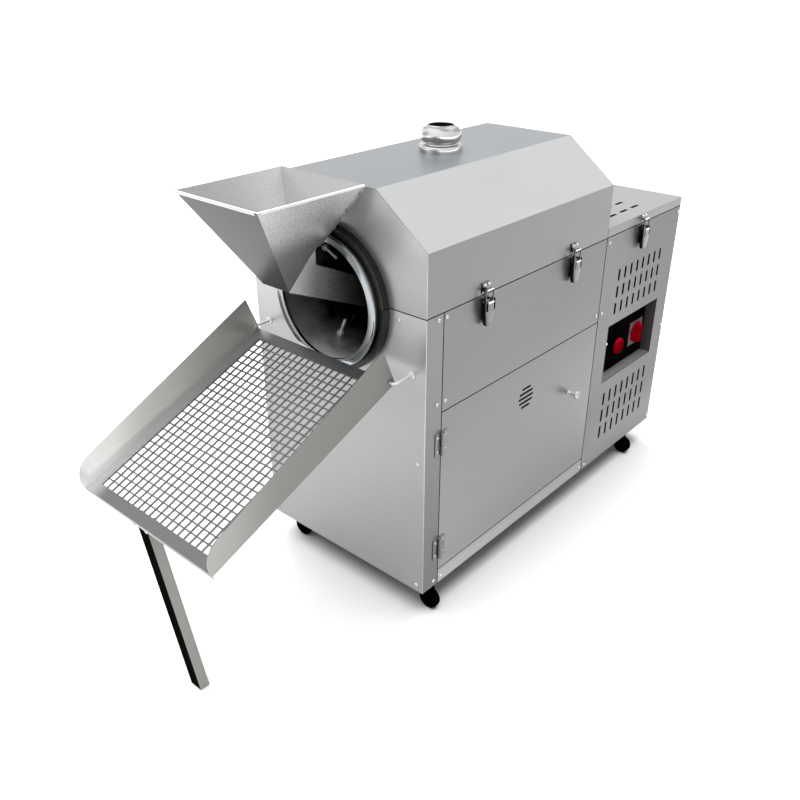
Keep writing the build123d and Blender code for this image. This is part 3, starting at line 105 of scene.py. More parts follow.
class Wiring:
    """Places and joins the nodes of one shader tree."""

    mix_first = 6
    mix_second = 7
    mix_result = 2

    def __init__(self, tree: bpy.types.NodeTree) -> None:
        """Keeps the tree that is wired.

        Args:
            tree: node tree of a material, world or group.
        """
        self.tree = tree

    def node(self, kind: str, **inputs: object) -> bpy.types.Node:
        """Adds a node.

        Args:
            kind: the node's type name.
            inputs: values or output sockets for named inputs, blanks written as underscores.

        Returns:
            The new node.
        """
        made = self.tree.nodes.new(kind)
        for name, value in inputs.items():
            self.feed(made, name.replace("_", " "), value)
        return made

    def feed(self, node: bpy.types.Node, name: str | int, value: object) -> None:
        """Sets or links one input of a node.

        Args:
            node: node that takes the value.
            name: name or number of its input.
            value: an output socket to link, or a plain value.
        """
        if isinstance(value, bpy.types.NodeSocket):
            self.tree.links.new(value, node.inputs[name])
        else:
            node.inputs[name].default_value = value

    def math(self, operation: str, first: object, second: object,
             clamp: bool = False) -> bpy.types.NodeSocket:
        """Joins two values by arithmetic.

        Args:
            operation: name of the operation.
            first: first value or socket.
            second: second value or socket.
            clamp: whether the result is kept from 0 to 1.

        Returns:
            The result's socket.
        """
        made = self.tree.nodes.new("ShaderNodeMath")
        made.operation = operation
        made.use_clamp = clamp
        self.feed(made, 0, first)
        self.feed(made, 1, second)
        return made.outputs[0]

    def ramp(self, value: object, low: float, high: float, to_low: float,
             to_high: float) -> bpy.types.NodeSocket:
        """Maps a value from one span to another, smoothly and without overshoot.

        Args:
            value: socket to map.
            low: start of its span.
            high: end of its span.
            to_low: result at the start.
            to_high: result at the end.

        Returns:
            The result's socket.
        """
        made = self.tree.nodes.new("ShaderNodeMapRange")
        made.interpolation_type = "SMOOTHSTEP"
        for name, number in (("Value", value), ("From Min", low), ("From Max", high),
                             ("To Min", to_low), ("To Max", to_high)):
            self.feed(made, name, number)
        return made.outputs["Result"]

    def mix(self, factor: object, first: object, second: object) -> bpy.types.NodeSocket:
        """Mixes two colours.

        Args:
            factor: share of the second colour.
            first: first colour or socket.
            second: second colour or socket.

        Returns:
            The mixed colour's socket.
        """
        made = self.tree.nodes.new("ShaderNodeMix")
        made.data_type = "RGBA"
        self.feed(made, 0, factor)
        self.feed(made, self.mix_first, first)
        self.feed(made, self.mix_second, second)
        return made.outputs[self.mix_result]

    def vector(self, operation: str, first: object, second: object) -> bpy.types.NodeSocket:
        """Joins two vectors or colours, or scales one.

        Args:
            operation: name of the operation.
            first: first vector.
            second: second vector, or the scale.

        Returns:
            The result's socket, a plain value for a dot product.
        """
        made = self.tree.nodes.new("ShaderNodeVectorMath")
        made.operation = operation
        self.feed(made, 0, first)
        self.feed(made, "Scale" if operation == "SCALE" else 1, second)
        return made.outputs["Value" if operation == "DOT_PRODUCT" else "Vector"]

    def noise(self, vector: object, scale: float, detail: float) -> bpy.types.NodeSocket:
        """Soft noise.

        Args:
            vector: where it is read.
            scale: its frequency.
            detail: its finer octaves.

        Returns:
            The value's socket.
        """
        return self.node("ShaderNodeTexNoise", Vector=vector, Scale=scale, Detail=detail).outputs["Fac"]


class Effects:
    """Surface effects that several finishes share, each a node group that is built once."""

    clouds_per_metre = 5.0
    cloud_detail = 3.0
    band_scale = 1.7
    band_edges = (0.32, 0.56)
    patch_detail = 5.0
    patch_edges = (-0.15, 0.25)
    mottles_per_metre = 40.0
    mottle_detail = 4.0
    mottle_share = 0.35
    peel_share = 0.25

    def __init__(self) -> None:
        """Builds the groups."""
        self.sheet = self.make_sheet()
        self.grime = self.make_grime()
        self.mould = self.make_mould()
        self.facing = self.make_painted_facing_light()
        self.mirror = self.make_painted_reflection()

    @staticmethod
    def start(name: str, inputs: Sequence[tuple[str, str]], outputs: Sequence[tuple[str, str]]) -> tuple:
        """Starts a group with its sockets.

        Args:
            name: the group's name.
            inputs: names and socket types that go in.
            outputs: names and socket types that come out.

        Returns:
            The group, its wiring, its input node and its output node.
        """
        group = bpy.data.node_groups.new(name, "ShaderNodeTree")
        for label, kind in inputs:
            group.interface.new_socket(label, in_out="INPUT", socket_type=kind)
        for label, kind in outputs:
            group.interface.new_socket(label, in_out="OUTPUT", socket_type=kind)
        wiring = Wiring(group)
        return group, wiring, wiring.node("NodeGroupInput"), wiring.node("NodeGroupOutput")

    def make_sheet(self) -> bpy.types.NodeTree:
        """Brushed or rolled metal: streaks over broad clouds.

        Returns:
            The group, with a tinted colour, a roughness and a height.
        """
        group, wiring, into, out = self.start(
            "brushed_metal",
            (("Vector", "NodeSocketVector"), ("Frequency", "NodeSocketVector"), ("Colour", "NodeSocketColor"),
             ("Streaks", "NodeSocketFloat"), ("Clouds", "NodeSocketFloat"), ("Roughness", "NodeSocketFloat"),
             ("Spread", "NodeSocketFloat")),
            (("Colour", "NodeSocketColor"), ("Roughness", "NodeSocketFloat"), ("Height", "NodeSocketFloat")))
        stretched = wiring.vector("MULTIPLY", into.outputs["Vector"], into.outputs["Frequency"])
        streak = wiring.math("SUBTRACT", wiring.noise(stretched, 1.0, 2.0), 0.5)
        broad = wiring.noise(into.outputs["Vector"], self.clouds_per_metre, self.cloud_detail)
        cloud = wiring.math("SUBTRACT", broad, 0.5)
        tone = wiring.math("ADD", wiring.math("MULTIPLY", streak, into.outputs["Streaks"]),
                           wiring.math("MULTIPLY", cloud, into.outputs["Clouds"]))
        tinted = wiring.vector("SCALE", into.outputs["Colour"], wiring.math("ADD", tone, 1.0))
        wiring.feed(out, "Colour", tinted)
        rough = wiring.math("MULTIPLY", wiring.math("ADD", streak, cloud), into.outputs["Spread"])
        wiring.feed(out, "Roughness", wiring.math("ADD", rough, into.outputs["Roughness"], clamp=True))
        wiring.feed(out, "Height", streak)
        return group

    def make_painted_facing_light(self) -> bpy.types.NodeTree:
        """Paints light, shade and reflections into a colour by the way the surface faces, as a bright room
        would light sheet metal.

        Returns:
            The group, with the shaded colour.
        """
        ways = ("Right", "Left", "Rear", "Front", "Up", "Down")
        group, wiring, into, out = self.start(
            "painted_facing_light", (("Normal", "NodeSocketVector"), ("Colour", "NodeSocketColor"),
                             *((way, "NodeSocketColor") for way in ways), ("Slope", "NodeSocketColor")),
            (("Colour", "NodeSocketColor"),))
        parts = wiring.node("ShaderNodeSeparateXYZ", Vector=into.outputs["Normal"]).outputs
        leans = []
        for number in range(len(ways)):
            sign = -1.0 if number % 2 else 1.0
            leans.append(wiring.math("MAXIMUM", wiring.math("MULTIPLY", parts[number // 2], sign), 0.0))
        total = wiring.vector("SCALE", into.outputs["Slope"], wiring.math("MULTIPLY", leans[0], leans[4]))
        for way, lean in zip(ways, leans):
            share = wiring.vector("SCALE", into.outputs[way], wiring.math("POWER", lean, 2.0))
            total = wiring.vector("ADD", total, share)
        wiring.feed(out, "Colour", wiring.vector("MULTIPLY", into.outputs["Colour"], total))
        return group

    def make_painted_reflection(self) -> bpy.types.NodeTree:
        """Painted reflection: dark and bright bands that follow the curve of polished metal.

        Returns:
            The group, with the banded colour.
        """
        group, wiring, into, out = self.start(
            "painted_reflection_bands", (("Normal", "NodeSocketVector"), ("Colour", "NodeSocketColor"),
                             ("Share", "NodeSocketFloat")), (("Colour", "NodeSocketColor"),))
        waves = wiring.noise(into.outputs["Normal"], self.band_scale, 0.0)
        bands = wiring.ramp(waves, *self.band_edges, 1.0, 0.0)
        tone = wiring.math("SUBTRACT", 1.0, wiring.math("MULTIPLY", bands, into.outputs["Share"]))
        wiring.feed(out, "Colour", wiring.vector("SCALE", into.outputs["Colour"], tone))
        return group

    def make_grime(self) -> bpy.types.NodeTree:
        """Patches of soot, grease or dust.

        Returns:
            The group, with a mask.
        """
        group, wiring, into, out = self.start(
            "grime", (("Vector", "NodeSocketVector"), ("Frequency", "NodeSocketFloat"),
                      ("Cover", "NodeSocketFloat")), (("Mask", "NodeSocketFloat"),))
        stretched = wiring.vector("SCALE", into.outputs["Vector"], into.outputs["Frequency"])
        patches = wiring.noise(stretched, 1.0, self.patch_detail)
        edge = wiring.math("SUBTRACT", 1.0, into.outputs["Cover"])
        over = wiring.math("SUBTRACT", patches, edge)
        wiring.feed(out, "Mask", wiring.ramp(over, *self.patch_edges, 0.0, 1.0))
        return group

    def make_mould(self) -> bpy.types.NodeTree:
        """Moulded or painted skin: faint mottling and a fine peel.

        Returns:
            The group, with a colour, a roughness and a height.
        """
        group, wiring, into, out = self.start(
            "moulded_skin", (("Vector", "NodeSocketVector"), ("Colour", "NodeSocketColor"),
                             ("Roughness", "NodeSocketFloat"), ("Grain", "NodeSocketFloat")),
            (("Colour", "NodeSocketColor"), ("Roughness", "NodeSocketFloat"), ("Height", "NodeSocketFloat")))
        broad = wiring.noise(into.outputs["Vector"], self.mottles_per_metre, self.mottle_detail)
        mottle = wiring.math("SUBTRACT", broad, 0.5)
        peel = wiring.noise(wiring.vector("SCALE", into.outputs["Vector"], into.outputs["Grain"]), 1.0, 2.0)
        tone = wiring.math("ADD", wiring.math("MULTIPLY", mottle, self.mottle_share), 1.0)
        wiring.feed(out, "Colour", wiring.vector("SCALE", into.outputs["Colour"], tone))
        uneven = wiring.math("ADD", mottle, wiring.math("SUBTRACT", peel, 0.5))
        rough = wiring.math("MULTIPLY", uneven, self.peel_share)
        wiring.feed(out, "Roughness", wiring.math("ADD", rough, into.outputs["Roughness"], clamp=True))
        wiring.feed(out, "Height", peel)
        return group


EFFECTS = Effects()


def grey(level: float) -> Colour:
    """An even grey."""
    return (level, level, level)


@dataclass(frozen=True)
class PaintedFacingLight:
    """Painted light and shade of a sheet by the way it faces, with the painted highlight that a slope to the
    right adds.
    """

    right: Colour = grey(1.0)
    left: Colour = grey(1.0)
    rear: Colour = grey(1.0)
    front: Colour = grey(1.0)
    up: Colour = grey(1.0)
    down: Colour = grey(1.0)
    slope: Colour = grey(0.0)

    def inputs(self) -> dict[str, tuple[float, float, float, float]]:
        """The shades as values of the shared effect.

        Returns:
            Input names and colours.
        """
        ways = {"Right": self.right, "Left": self.left, "Rear": self.rear, "Front": self.front, "Up": self.up,
                "Down": self.down, "Slope": self.slope}
        return {way: (*colour, 1.0) for way, colour in ways.items()}


@dataclass(frozen=True)
class PaintedLightFade:
    """Painted light or shade: a change of tone between two places in metres, on the surfaces that face one
    way or on all.
    """

    along: str
    start: float
    end: float
    first: float
    last: float
    faced: str = ""


@dataclass(frozen=True)
class Finish:
    """What every finish has: a name and a way to make its material."""

    name: str
    colour: Colour

    def begin(self) -> tuple[bpy.types.Material, Wiring, bpy.types.Node, bpy.types.NodeSocket]:
        """Starts the material.

        Returns:
            The material, its wiring, its shader and the object coordinates.
        """
        material = bpy.data.materials.new(self.name)
        material.use_nodes = True
        wiring = Wiring(material.node_tree)
        shader = material.node_tree.nodes["Principled BSDF"]
        place = wiring.node("ShaderNodeTexCoord").outputs["Object"]
        return material, wiring, shader, place

    def group(self, wiring: Wiring, tree: bpy.types.NodeTree, **inputs: object) -> bpy.types.Node:
        """Places a shared effect in the material.

        Args:
            wiring: the material's wiring.
            tree: the effect.
            inputs: its values.

        Returns:
            The group's node.
        """
        made = wiring.node("ShaderNodeGroup")
        made.node_tree = tree
        for name, value in inputs.items():
            wiring.feed(made, name, value)
        return made

    def bump(self, wiring: Wiring, shader: bpy.types.Node, height: object, strength: float,
             depth: float) -> None:
        """Gives the shader relief.

        Args:
            wiring: the material's wiring.
            shader: the shader.
            height: the height's socket.
            strength: share of the relief.
            depth: its depth in metres.
        """
        relief = wiring.node("ShaderNodeBump", Height=height, Strength=strength, Distance=depth)
        wiring.feed(shader, "Normal", relief.outputs["Normal"])

    @staticmethod
    def normal(wiring: Wiring) -> bpy.types.NodeSocket:
        """The way the surface faces, in the object's own directions."""
        return wiring.node("ShaderNodeTexCoord").outputs["Normal"]

    def shaded(self, wiring: Wiring, colour: object, place: object, facing: PaintedFacingLight,
               fades: Sequence[PaintedLightFade] = ()) -> bpy.types.NodeSocket:
        """Paints light and shade into a colour by facing and along its fades.

        Args:
            wiring: the material's wiring.
            colour: the colour's socket.
            place: object coordinates.
            facing: painted light and shade of each way.
            fades: painted light and shade along the piece.

        Returns:
            The shaded colour.
        """
        normal = self.normal(wiring)
        shade = self.group(wiring, EFFECTS.facing, Normal=normal, Colour=colour, **facing.inputs())
        tone = shade.outputs["Colour"]
        spots = wiring.node("ShaderNodeSeparateXYZ", Vector=place).outputs
        leans = wiring.node("ShaderNodeSeparateXYZ", Vector=normal).outputs
        for fade in fades:
            change = wiring.ramp(spots[fade.along], fade.start, fade.end, fade.first - 1.0, fade.last - 1.0)
            if fade.faced:
                change = wiring.math("MULTIPLY", change, wiring.math("POWER", leans[fade.faced], 2.0))
            tone = wiring.vector("SCALE", tone, wiring.math("ADD", change, 1.0))
        return tone

    def flat(self) -> tuple[float, float, float, float]:
        """The colour with full cover."""
        return (*self.colour, 1.0)

    def material(self) -> bpy.types.Material:
        """The finished material, made once."""
        return bpy.data.materials.get(self.name) or self.make()

    def make(self) -> bpy.types.Material:
        """Makes the material; each finish has its own way."""
        raise NotImplementedError


@dataclass(frozen=True)
class Steel(Finish):
    """Brushed, rolled or polished bare metal."""

    brush: Brush = Brush.ALONG
    roughness: float = 0.34
    metallic: float = 0.8
    streaks: float = 0.22
    clouds: float = 0.12
    spread: float = 0.16
    relief: float = 0.00002
    specular: float = 0.5
    facing: PaintedFacingLight = PaintedFacingLight()
    fades: tuple[PaintedLightFade, ...] = ()
    mirror: float = 0.0
    strength: float = 0.25

    def make(self) -> bpy.types.Material:
        """Wires streaks and clouds to colour, roughness and relief, and paints light, shade and reflection
        bands into the colour.

        Returns:
            The material.
        """
        material, wiring, shader, place = self.begin()
        sheet = self.group(wiring, EFFECTS.sheet, Vector=place, Frequency=self.brush.value,
                           Colour=self.flat(), Streaks=self.streaks, Clouds=self.clouds,
                           Roughness=self.roughness, Spread=self.spread)
        shader.inputs["Metallic"].default_value = self.metallic
        shader.inputs["Specular IOR Level"].default_value = self.specular
        # Painted light, shade and highlights by facing and along the fades.
        tone = self.shaded(wiring, sheet.outputs["Colour"], place, self.facing, self.fades)
        # Painted reflection: dark and bright bands over polished metal.
        if self.mirror:
            bands = self.group(wiring, EFFECTS.mirror, Normal=self.normal(wiring), Colour=tone,
                               Share=self.mirror)
            tone = bands.outputs["Colour"]
        wiring.feed(shader, "Base Color", tone)
        wiring.feed(shader, "Roughness", sheet.outputs["Roughness"])
        self.bump(wiring, shader, sheet.outputs["Height"], self.strength, self.relief)
        return material


@dataclass(frozen=True)
class SootedAndShaded(Finish):
    """Metal that heat and roasting have darkened, with painted shade that deepens from the drum's mouth
    inwards and painted light by facing.
    """

    # Black of the soot patches and of the painted shade deep in the drum.
    soot: Colour = grey(0.006)
    mouth: float = -0.31
    deep: float = -0.13
    roughness: float = 0.38
    metallic: float = 0.6
    facing: PaintedFacingLight = PaintedFacingLight()
    outside: Colour = (0.05, 0.047, 0.044)
    turnover: float = 0.02
    streaks: float = 0.2
    clouds: float = 0.5
    spread: float = 0.25
    patches: float = 14.0
    cover: float = 0.5
    mouth_soot: float = 0.45
    strength: float = 0.3
    relief: float = 0.0002

    def make(self) -> bpy.types.Material:
        """Wires soot patches, painted shade that deepens into the drum, painted light by facing and the
        heat-darkened outside.

        Returns:
            The material.
        """
        material, wiring, shader, place = self.begin()
        sheet = self.group(wiring, EFFECTS.sheet, Vector=place, Frequency=Brush.SPUN.value,
                           Colour=self.flat(), Streaks=self.streaks, Clouds=self.clouds,
                           Roughness=self.roughness, Spread=self.spread)
        grime = self.group(wiring, EFFECTS.grime, Vector=place, Frequency=self.patches, Cover=self.cover)
        mask = grime.outputs["Mask"]
        along = wiring.node("ShaderNodeSeparateXYZ", Vector=place).outputs["Y"]
        # Painted shade: darker from the mouth towards the back of the drum, added to the soot patches.
        depth = wiring.ramp(along, self.mouth, self.deep, 0.0, 1.0)
        cover = wiring.math("ADD", wiring.math("MULTIPLY", mask, self.mouth_soot), depth, clamp=True)
        bare = self.shaded(wiring, sheet.outputs["Colour"], place, self.facing)
        soot = (*self.soot, 1.0)
        inner = wiring.mix(cover, bare, soot)
        burnt = wiring.mix(mask, (*self.outside, 1.0), soot)
        reach = wiring.vector("SUBTRACT", place, CABINET.drum_line())
        radial = wiring.vector("MULTIPLY", reach, (1.0, 0.0, 1.0))
        away = wiring.vector("DOT_PRODUCT", radial, self.normal(wiring))
        side = wiring.ramp(away, -self.turnover, self.turnover, 0.0, 1.0)
        wiring.feed(shader, "Base Color", wiring.mix(side, inner, burnt))
        wiring.feed(shader, "Roughness", sheet.outputs["Roughness"])
        shader.inputs["Metallic"].default_value = self.metallic
        self.bump(wiring, shader, mask, self.strength, self.relief)
        return material


@dataclass(frozen=True)
class Coated(Finish):
    """Painted, moulded or cast skin, with worn patches where asked."""

    roughness: float = 0.4
    metallic: float = 0.0
    grain: float = 900.0
    relief: float = 0.00005
    coat: float = 0.0
    specular: float = 0.5
    worn: Colour = (0.25, 0.25, 0.25)
    wear: float = 0.0
    facing: PaintedFacingLight = PaintedFacingLight()
    patches: float = 55.0
    strength: float = 0.4

    def make(self) -> bpy.types.Material:
        """Wires mottling, peel and wear, and paints light and shade into the colour by facing.

        Returns:
            The material.
        """
        material, wiring, shader, place = self.begin()
        skin = self.group(wiring, EFFECTS.mould, Vector=place, Colour=self.flat(), Roughness=self.roughness,
                          Grain=self.grain)
        grime = self.group(wiring, EFFECTS.grime, Vector=place, Frequency=self.patches, Cover=self.wear)
        tone = wiring.mix(grime.outputs["Mask"], skin.outputs["Colour"], (*self.worn, 1.0))
        # Painted light and shade by facing.
        wiring.feed(shader, "Base Color", self.shaded(wiring, tone, place, self.facing))
        wiring.feed(shader, "Roughness", skin.outputs["Roughness"])
        shader.inputs["Metallic"].default_value = self.metallic
        shader.inputs["Coat Weight"].default_value = self.coat
        shader.inputs["Specular IOR Level"].default_value = self.specular
        self.bump(wiring, shader, skin.outputs["Height"], self.strength, self.relief)
        return material


@dataclass(frozen=True)
class HalfBare(Finish):
    """Black collar whose front edge has been left bare."""

    bare: Colour = (0.06, 0.06, 0.058)
    roughness: float = 0.4
    streaks: float = 0.5
    clouds: float = 0.6
    spread: float = 0.2
    metallic: float = 0.8
    specular: float = 0.2
    turn: Pair = (-0.95, -0.7)

    def make(self) -> bpy.types.Material:
        """Wires the black skin and the bare front edge by the way the surface faces.

        Returns:
            The material.
        """
        material, wiring, shader, place = self.begin()
        skin = self.group(wiring, EFFECTS.mould, Vector=place, Colour=self.flat())
        sheet = self.group(wiring, EFFECTS.sheet, Vector=place, Frequency=Brush.SPUN.value,
                           Colour=(*self.bare, 1.0), Streaks=self.streaks, Clouds=self.clouds,
                           Roughness=self.roughness, Spread=self.spread)
        facing = wiring.node("ShaderNodeSeparateXYZ", Vector=self.normal(wiring)).outputs["Y"]
        front = wiring.ramp(facing, *self.turn, 1.0, 0.0)
        wiring.feed(shader, "Base Color", wiring.mix(front, skin.outputs["Colour"], sheet.outputs["Colour"]))
        wiring.feed(shader, "Roughness", sheet.outputs["Roughness"])
        wiring.feed(shader, "Metallic", wiring.math("MULTIPLY", front, self.metallic))
        shader.inputs["Specular IOR Level"].default_value = self.specular
        return material


@dataclass(frozen=True)
class Finishes:
    """All finishes of the roaster."""

    # Every facing and fade below paints light, shade, highlights and reflections into the colour.
    hood: Steel = Steel("hood_sheet", grey(0.3), Brush.ALONG, 0.34, streaks=0.14,
                        facing=PaintedFacingLight(right=grey(0.6), left=grey(0.55), rear=grey(0.6), front=grey(1.05),
                                      up=(0.81, 0.85, 0.885), slope=grey(1.77)),
                        fades=(PaintedLightFade("Z", 0.84, 0.95, 1.0, 1.86, "Y"),))
    front: Steel = Steel("front_sheet", grey(0.3), Brush.ACROSS, 0.36, streaks=0.16,
                         facing=PaintedFacingLight(right=grey(0.61), left=grey(0.5), front=grey(1.02)),
                         fades=(PaintedLightFade("Z", 0.56, 0.7, 1.0, 1.34, "Y"),))
    side: Steel = Steel("side_sheet", grey(0.3), Brush.ALONG, 0.36, streaks=0.14,
                        facing=PaintedFacingLight(right=grey(0.62), left=grey(0.45)),
                        fades=(PaintedLightFade("Z", 0.08, 0.65, 1.55, 0.87), PaintedLightFade("Z", 0.09, 0.125, 1.5, 1.0),
                               PaintedLightFade("Y", -0.25, 0.38, 1.06, 0.89)))
    control: Steel = Steel("control_sheet", grey(0.3), Brush.ALONG, 0.38, streaks=0.14,
                           facing=PaintedFacingLight(right=grey(0.48), front=grey(0.6), up=grey(2.4)),
                           fades=(PaintedLightFade("Z", 0.1, 0.26, 1.65, 1.0), PaintedLightFade("Y", 0.42, 0.75, 1.06, 0.76),
                                  # Painted shade on the walls of the air slots.
                                  PaintedLightFade("X", 0.2485, 0.2495, 1.0, 0.05, "Y"),
                                  PaintedLightFade("X", 0.2485, 0.2495, 1.0, 0.05, "Z")))
    cover: Steel = Steel("cover_sheet", grey(0.3), Brush.ALONG, 0.34, streaks=0.14,
                         facing=PaintedFacingLight(right=grey(0.65), left=grey(0.55), rear=grey(0.65), up=grey(1.1)))
    plain: Steel = Steel("rear_sheet", grey(0.3), Brush.UPRIGHT, 0.38, facing=PaintedFacingLight(rear=grey(0.65)))
    inner: Steel = Steel("inner_sheet", grey(0.12), Brush.SPUN, 0.5, 0.7, 0.2, 0.3)
    tray: Steel = Steel("tray_sheet", grey(0.3), Brush.ALONG, 0.36,
                        facing=PaintedFacingLight(right=(1.15, 1.13, 1.07), left=grey(0.5), front=grey(0.9),
                                      up=(0.31, 0.322, 0.333)),
                        fades=(PaintedLightFade("Y", -0.79, -0.33, 1.25, 0.95, "X"),
                               PaintedLightFade("Y", -0.8, -0.62, 1.6, 1.0, "X"), PaintedLightFade("X", -0.19, 0.19, 1.76, 0.46, "X"),
                               PaintedLightFade("X", -0.2, -0.14, 3.8, 1.0, "Z"),
                               PaintedLightFade("Y", -0.79, -0.45, 1.35, 0.9, "Z")))
    sieve: Steel = Steel("sieve_sheet", (0.138, 0.141, 0.144), Brush.ACROSS, 0.4)
    # Painted shade: the front-facing flange is near black.
    leg: Steel = Steel("leg_angle", (0.27, 0.265, 0.25), Brush.UPRIGHT, 0.6, 0.0, specular=0.0,
                       facing=PaintedFacingLight(front=grey(0.006)))
    hopper: Steel = Steel("hopper_sheet", grey(0.3), Brush.UPRIGHT, 0.28, 0.6, 0.12, spread=0.05,
                          facing=PaintedFacingLight(right=grey(2.2), front=grey(0.06), up=grey(6.2), down=grey(0.03)),
                          fades=(PaintedLightFade("X", -0.03, 0.03, 0.29, 1.0, "X"),
                                 PaintedLightFade("Z", 0.86, 0.92, 0.4, 1.0, "X")))
    hem: Steel = Steel("rolled_hem", grey(0.6), Brush.ACROSS, 0.2)
    # Painted shade: the chute darkens towards the inside of the drum.
    chute: Steel = Steel("chute_sheet", grey(0.3), Brush.ALONG, 0.3, streaks=0.08,
                         fades=(PaintedLightFade("Y", -0.36, -0.22, 1.5, 0.22),))
    # Painted highlights on the up-facing tops of these polished parts, painted shade underneath.
    flue_pipe: Steel = Steel("flue_polish", grey(0.8), Brush.SPUN, 0.1, 1.0, 0.1, 0.3, 0.05,
                             facing=PaintedFacingLight(right=grey(0.75), left=grey(0.6), up=grey(1.2), down=grey(0.5)),
                             mirror=0.5)
    bright: Steel = Steel("polished_steel", grey(0.6), Brush.SPUN, 0.12, 0.6, 0.1, 0.2, 0.05,
                          facing=PaintedFacingLight(right=grey(0.7), front=grey(0.8), up=grey(1.6), down=grey(0.15)))
    knob: Steel = Steel("knob_steel", grey(0.6), Brush.SPUN, 0.15, 0.5, 0.1, 0.2, 0.05,
                        facing=PaintedFacingLight(right=grey(0.55), up=grey(1.6), down=grey(0.2)), mirror=0.3)
    bar: Steel = Steel("latch_bars", grey(0.8), Brush.SPUN, 0.15, 0.6, 0.1, 0.2, 0.05,
                       facing=PaintedFacingLight(front=grey(0.5), up=grey(1.2), down=grey(0.15)))
    stud: Steel = Steel("stud_steel", grey(0.8), Brush.SPUN, 0.3, 0.4, 0.1, 0.2, 0.1)
    hook: Steel = Steel("hook_steel", grey(0.5), Brush.SPUN, 0.16, 0.6, 0.1, 0.2, 0.05,
                        facing=PaintedFacingLight(up=grey(1.8), down=grey(0.1)))
    rim: Steel = Steel("rim_steel", (0.34, 0.36, 0.375), Brush.SPUN, 0.2, 1.0, 0.2, 0.3, 0.1)
    # Painted reflection: front faces near black, tops bright.
    chrome: Steel = Steel("latch_chrome", grey(0.4), Brush.SPUN, 0.14, 1.0, 0.1, 0.25, 0.08,
                          facing=PaintedFacingLight(right=grey(0.4), front=grey(0.02), up=grey(1.6), down=grey(0.1)))
    # Brighter than the sheets: a painted highlight along the folds.
    edge: Steel = Steel("fold_highlight_steel", grey(0.4), Brush.SPUN, 0.3, 0.9)
    hinge: Steel = Steel("hinge_leaf", grey(0.4), Brush.UPRIGHT, 0.3, 0.9,
                         facing=PaintedFacingLight(right=grey(0.5), left=grey(0.4), front=grey(0.3)))
    machine: Steel = Steel("machined_steel", (0.25, 0.245, 0.24), Brush.SPUN, 0.32, 0.95, 0.3, 0.2)
    # Painted light on the drum's up-facing insides, painted shade on its undersides.
    drum: SootedAndShaded = SootedAndShaded("drum_sheet", grey(0.34), facing=PaintedFacingLight(up=grey(2.4), down=grey(0.5)))
    vane: SootedAndShaded = SootedAndShaded("drum_vanes", grey(0.16))
    flue: Coated = Coated("flue_soot", grey(0.006), 0.8, specular=0.0, wear=0.15, worn=grey(0.02))
    collar: HalfBare = HalfBare("upper_collar_skin", grey(0.01))
    dark: Coated = Coated("dark_collar", grey(0.008), 0.4, 0.0, specular=0.3, wear=0.1, worn=grey(0.02))
    # Black that paints shade: behind the air slots and along the panel joints.
    screen: Coated = Coated("painted_shade_black", grey(0.003), 0.9, specular=0.0, wear=0.1, worn=grey(0.006))
    iron: Coated = Coated("rough_casting", (0.05, 0.05, 0.052), 0.6, 0.5, 500.0, 0.0003, wear=0.25,
                          worn=(0.09, 0.06, 0.04))
    motor: Coated = Coated("motor_enamel", (0.05, 0.09, 0.13), 0.35, 0.0, 800.0, wear=0.1)
    plate: Coated = Coated("control_plate", grey(0.002), 0.7, specular=0.0, wear=0.05, worn=grey(0.006))
    pale: Coated = Coated("pale_plastic", (0.12, 0.1, 0.105), 0.4, specular=0.0, worn=(0.12, 0.1, 0.105))
    lamp: Coated = Coated("lamp_cap", (0.85, 0.85, 0.83), 0.2, coat=0.6)
    # Painted highlight on the red tops, painted shade underneath.
    red: Coated = Coated("button_red", (0.12, 0.0004, 0.003), 0.4, specular=0.0, worn=(0.12, 0.0004, 0.003),
                        facing=PaintedFacingLight(right=grey(1.0), front=grey(2.2), up=(4.0, 8.0, 8.0), down=grey(0.3)))
    maroon: Coated = Coated("border_red", (0.12, 0.002, 0.006), 0.4, specular=0.0, worn=(0.12, 0.002, 0.006))
    castor: Coated = Coated("castor_moulding", grey(0.0012), 0.5, specular=0.0, wear=0.1, worn=grey(0.003))
    rubber: Coated = Coated("tyre_rubber", grey(0.001), 0.7, 0.0, 1500.0, 0.0002, specular=0.0, wear=0.1,
                            worn=(0.0025, 0.0024, 0.0022))
    gland: Coated = Coated("gland_nylon", (0.02, 0.02, 0.022), 0.45)


FINISHES = Finishes()


def soften(work: bmesh.types.BMesh, parts: Sequence, offset: float, segments: int,
           affect: str = "EDGES") -> None:
    """Rounds edges or corners of a shape.

    Args:
        work: the shape.
        parts: its edges or corners.
        offset: how far the rounding reaches.
        segments: number of flats in it.
        affect: EDGES or VERTICES.
    """
    bmesh.ops.bevel(work, geom=parts, offset=offset, segments=segments, profile=0.5, affect=affect,
                    material=-1)


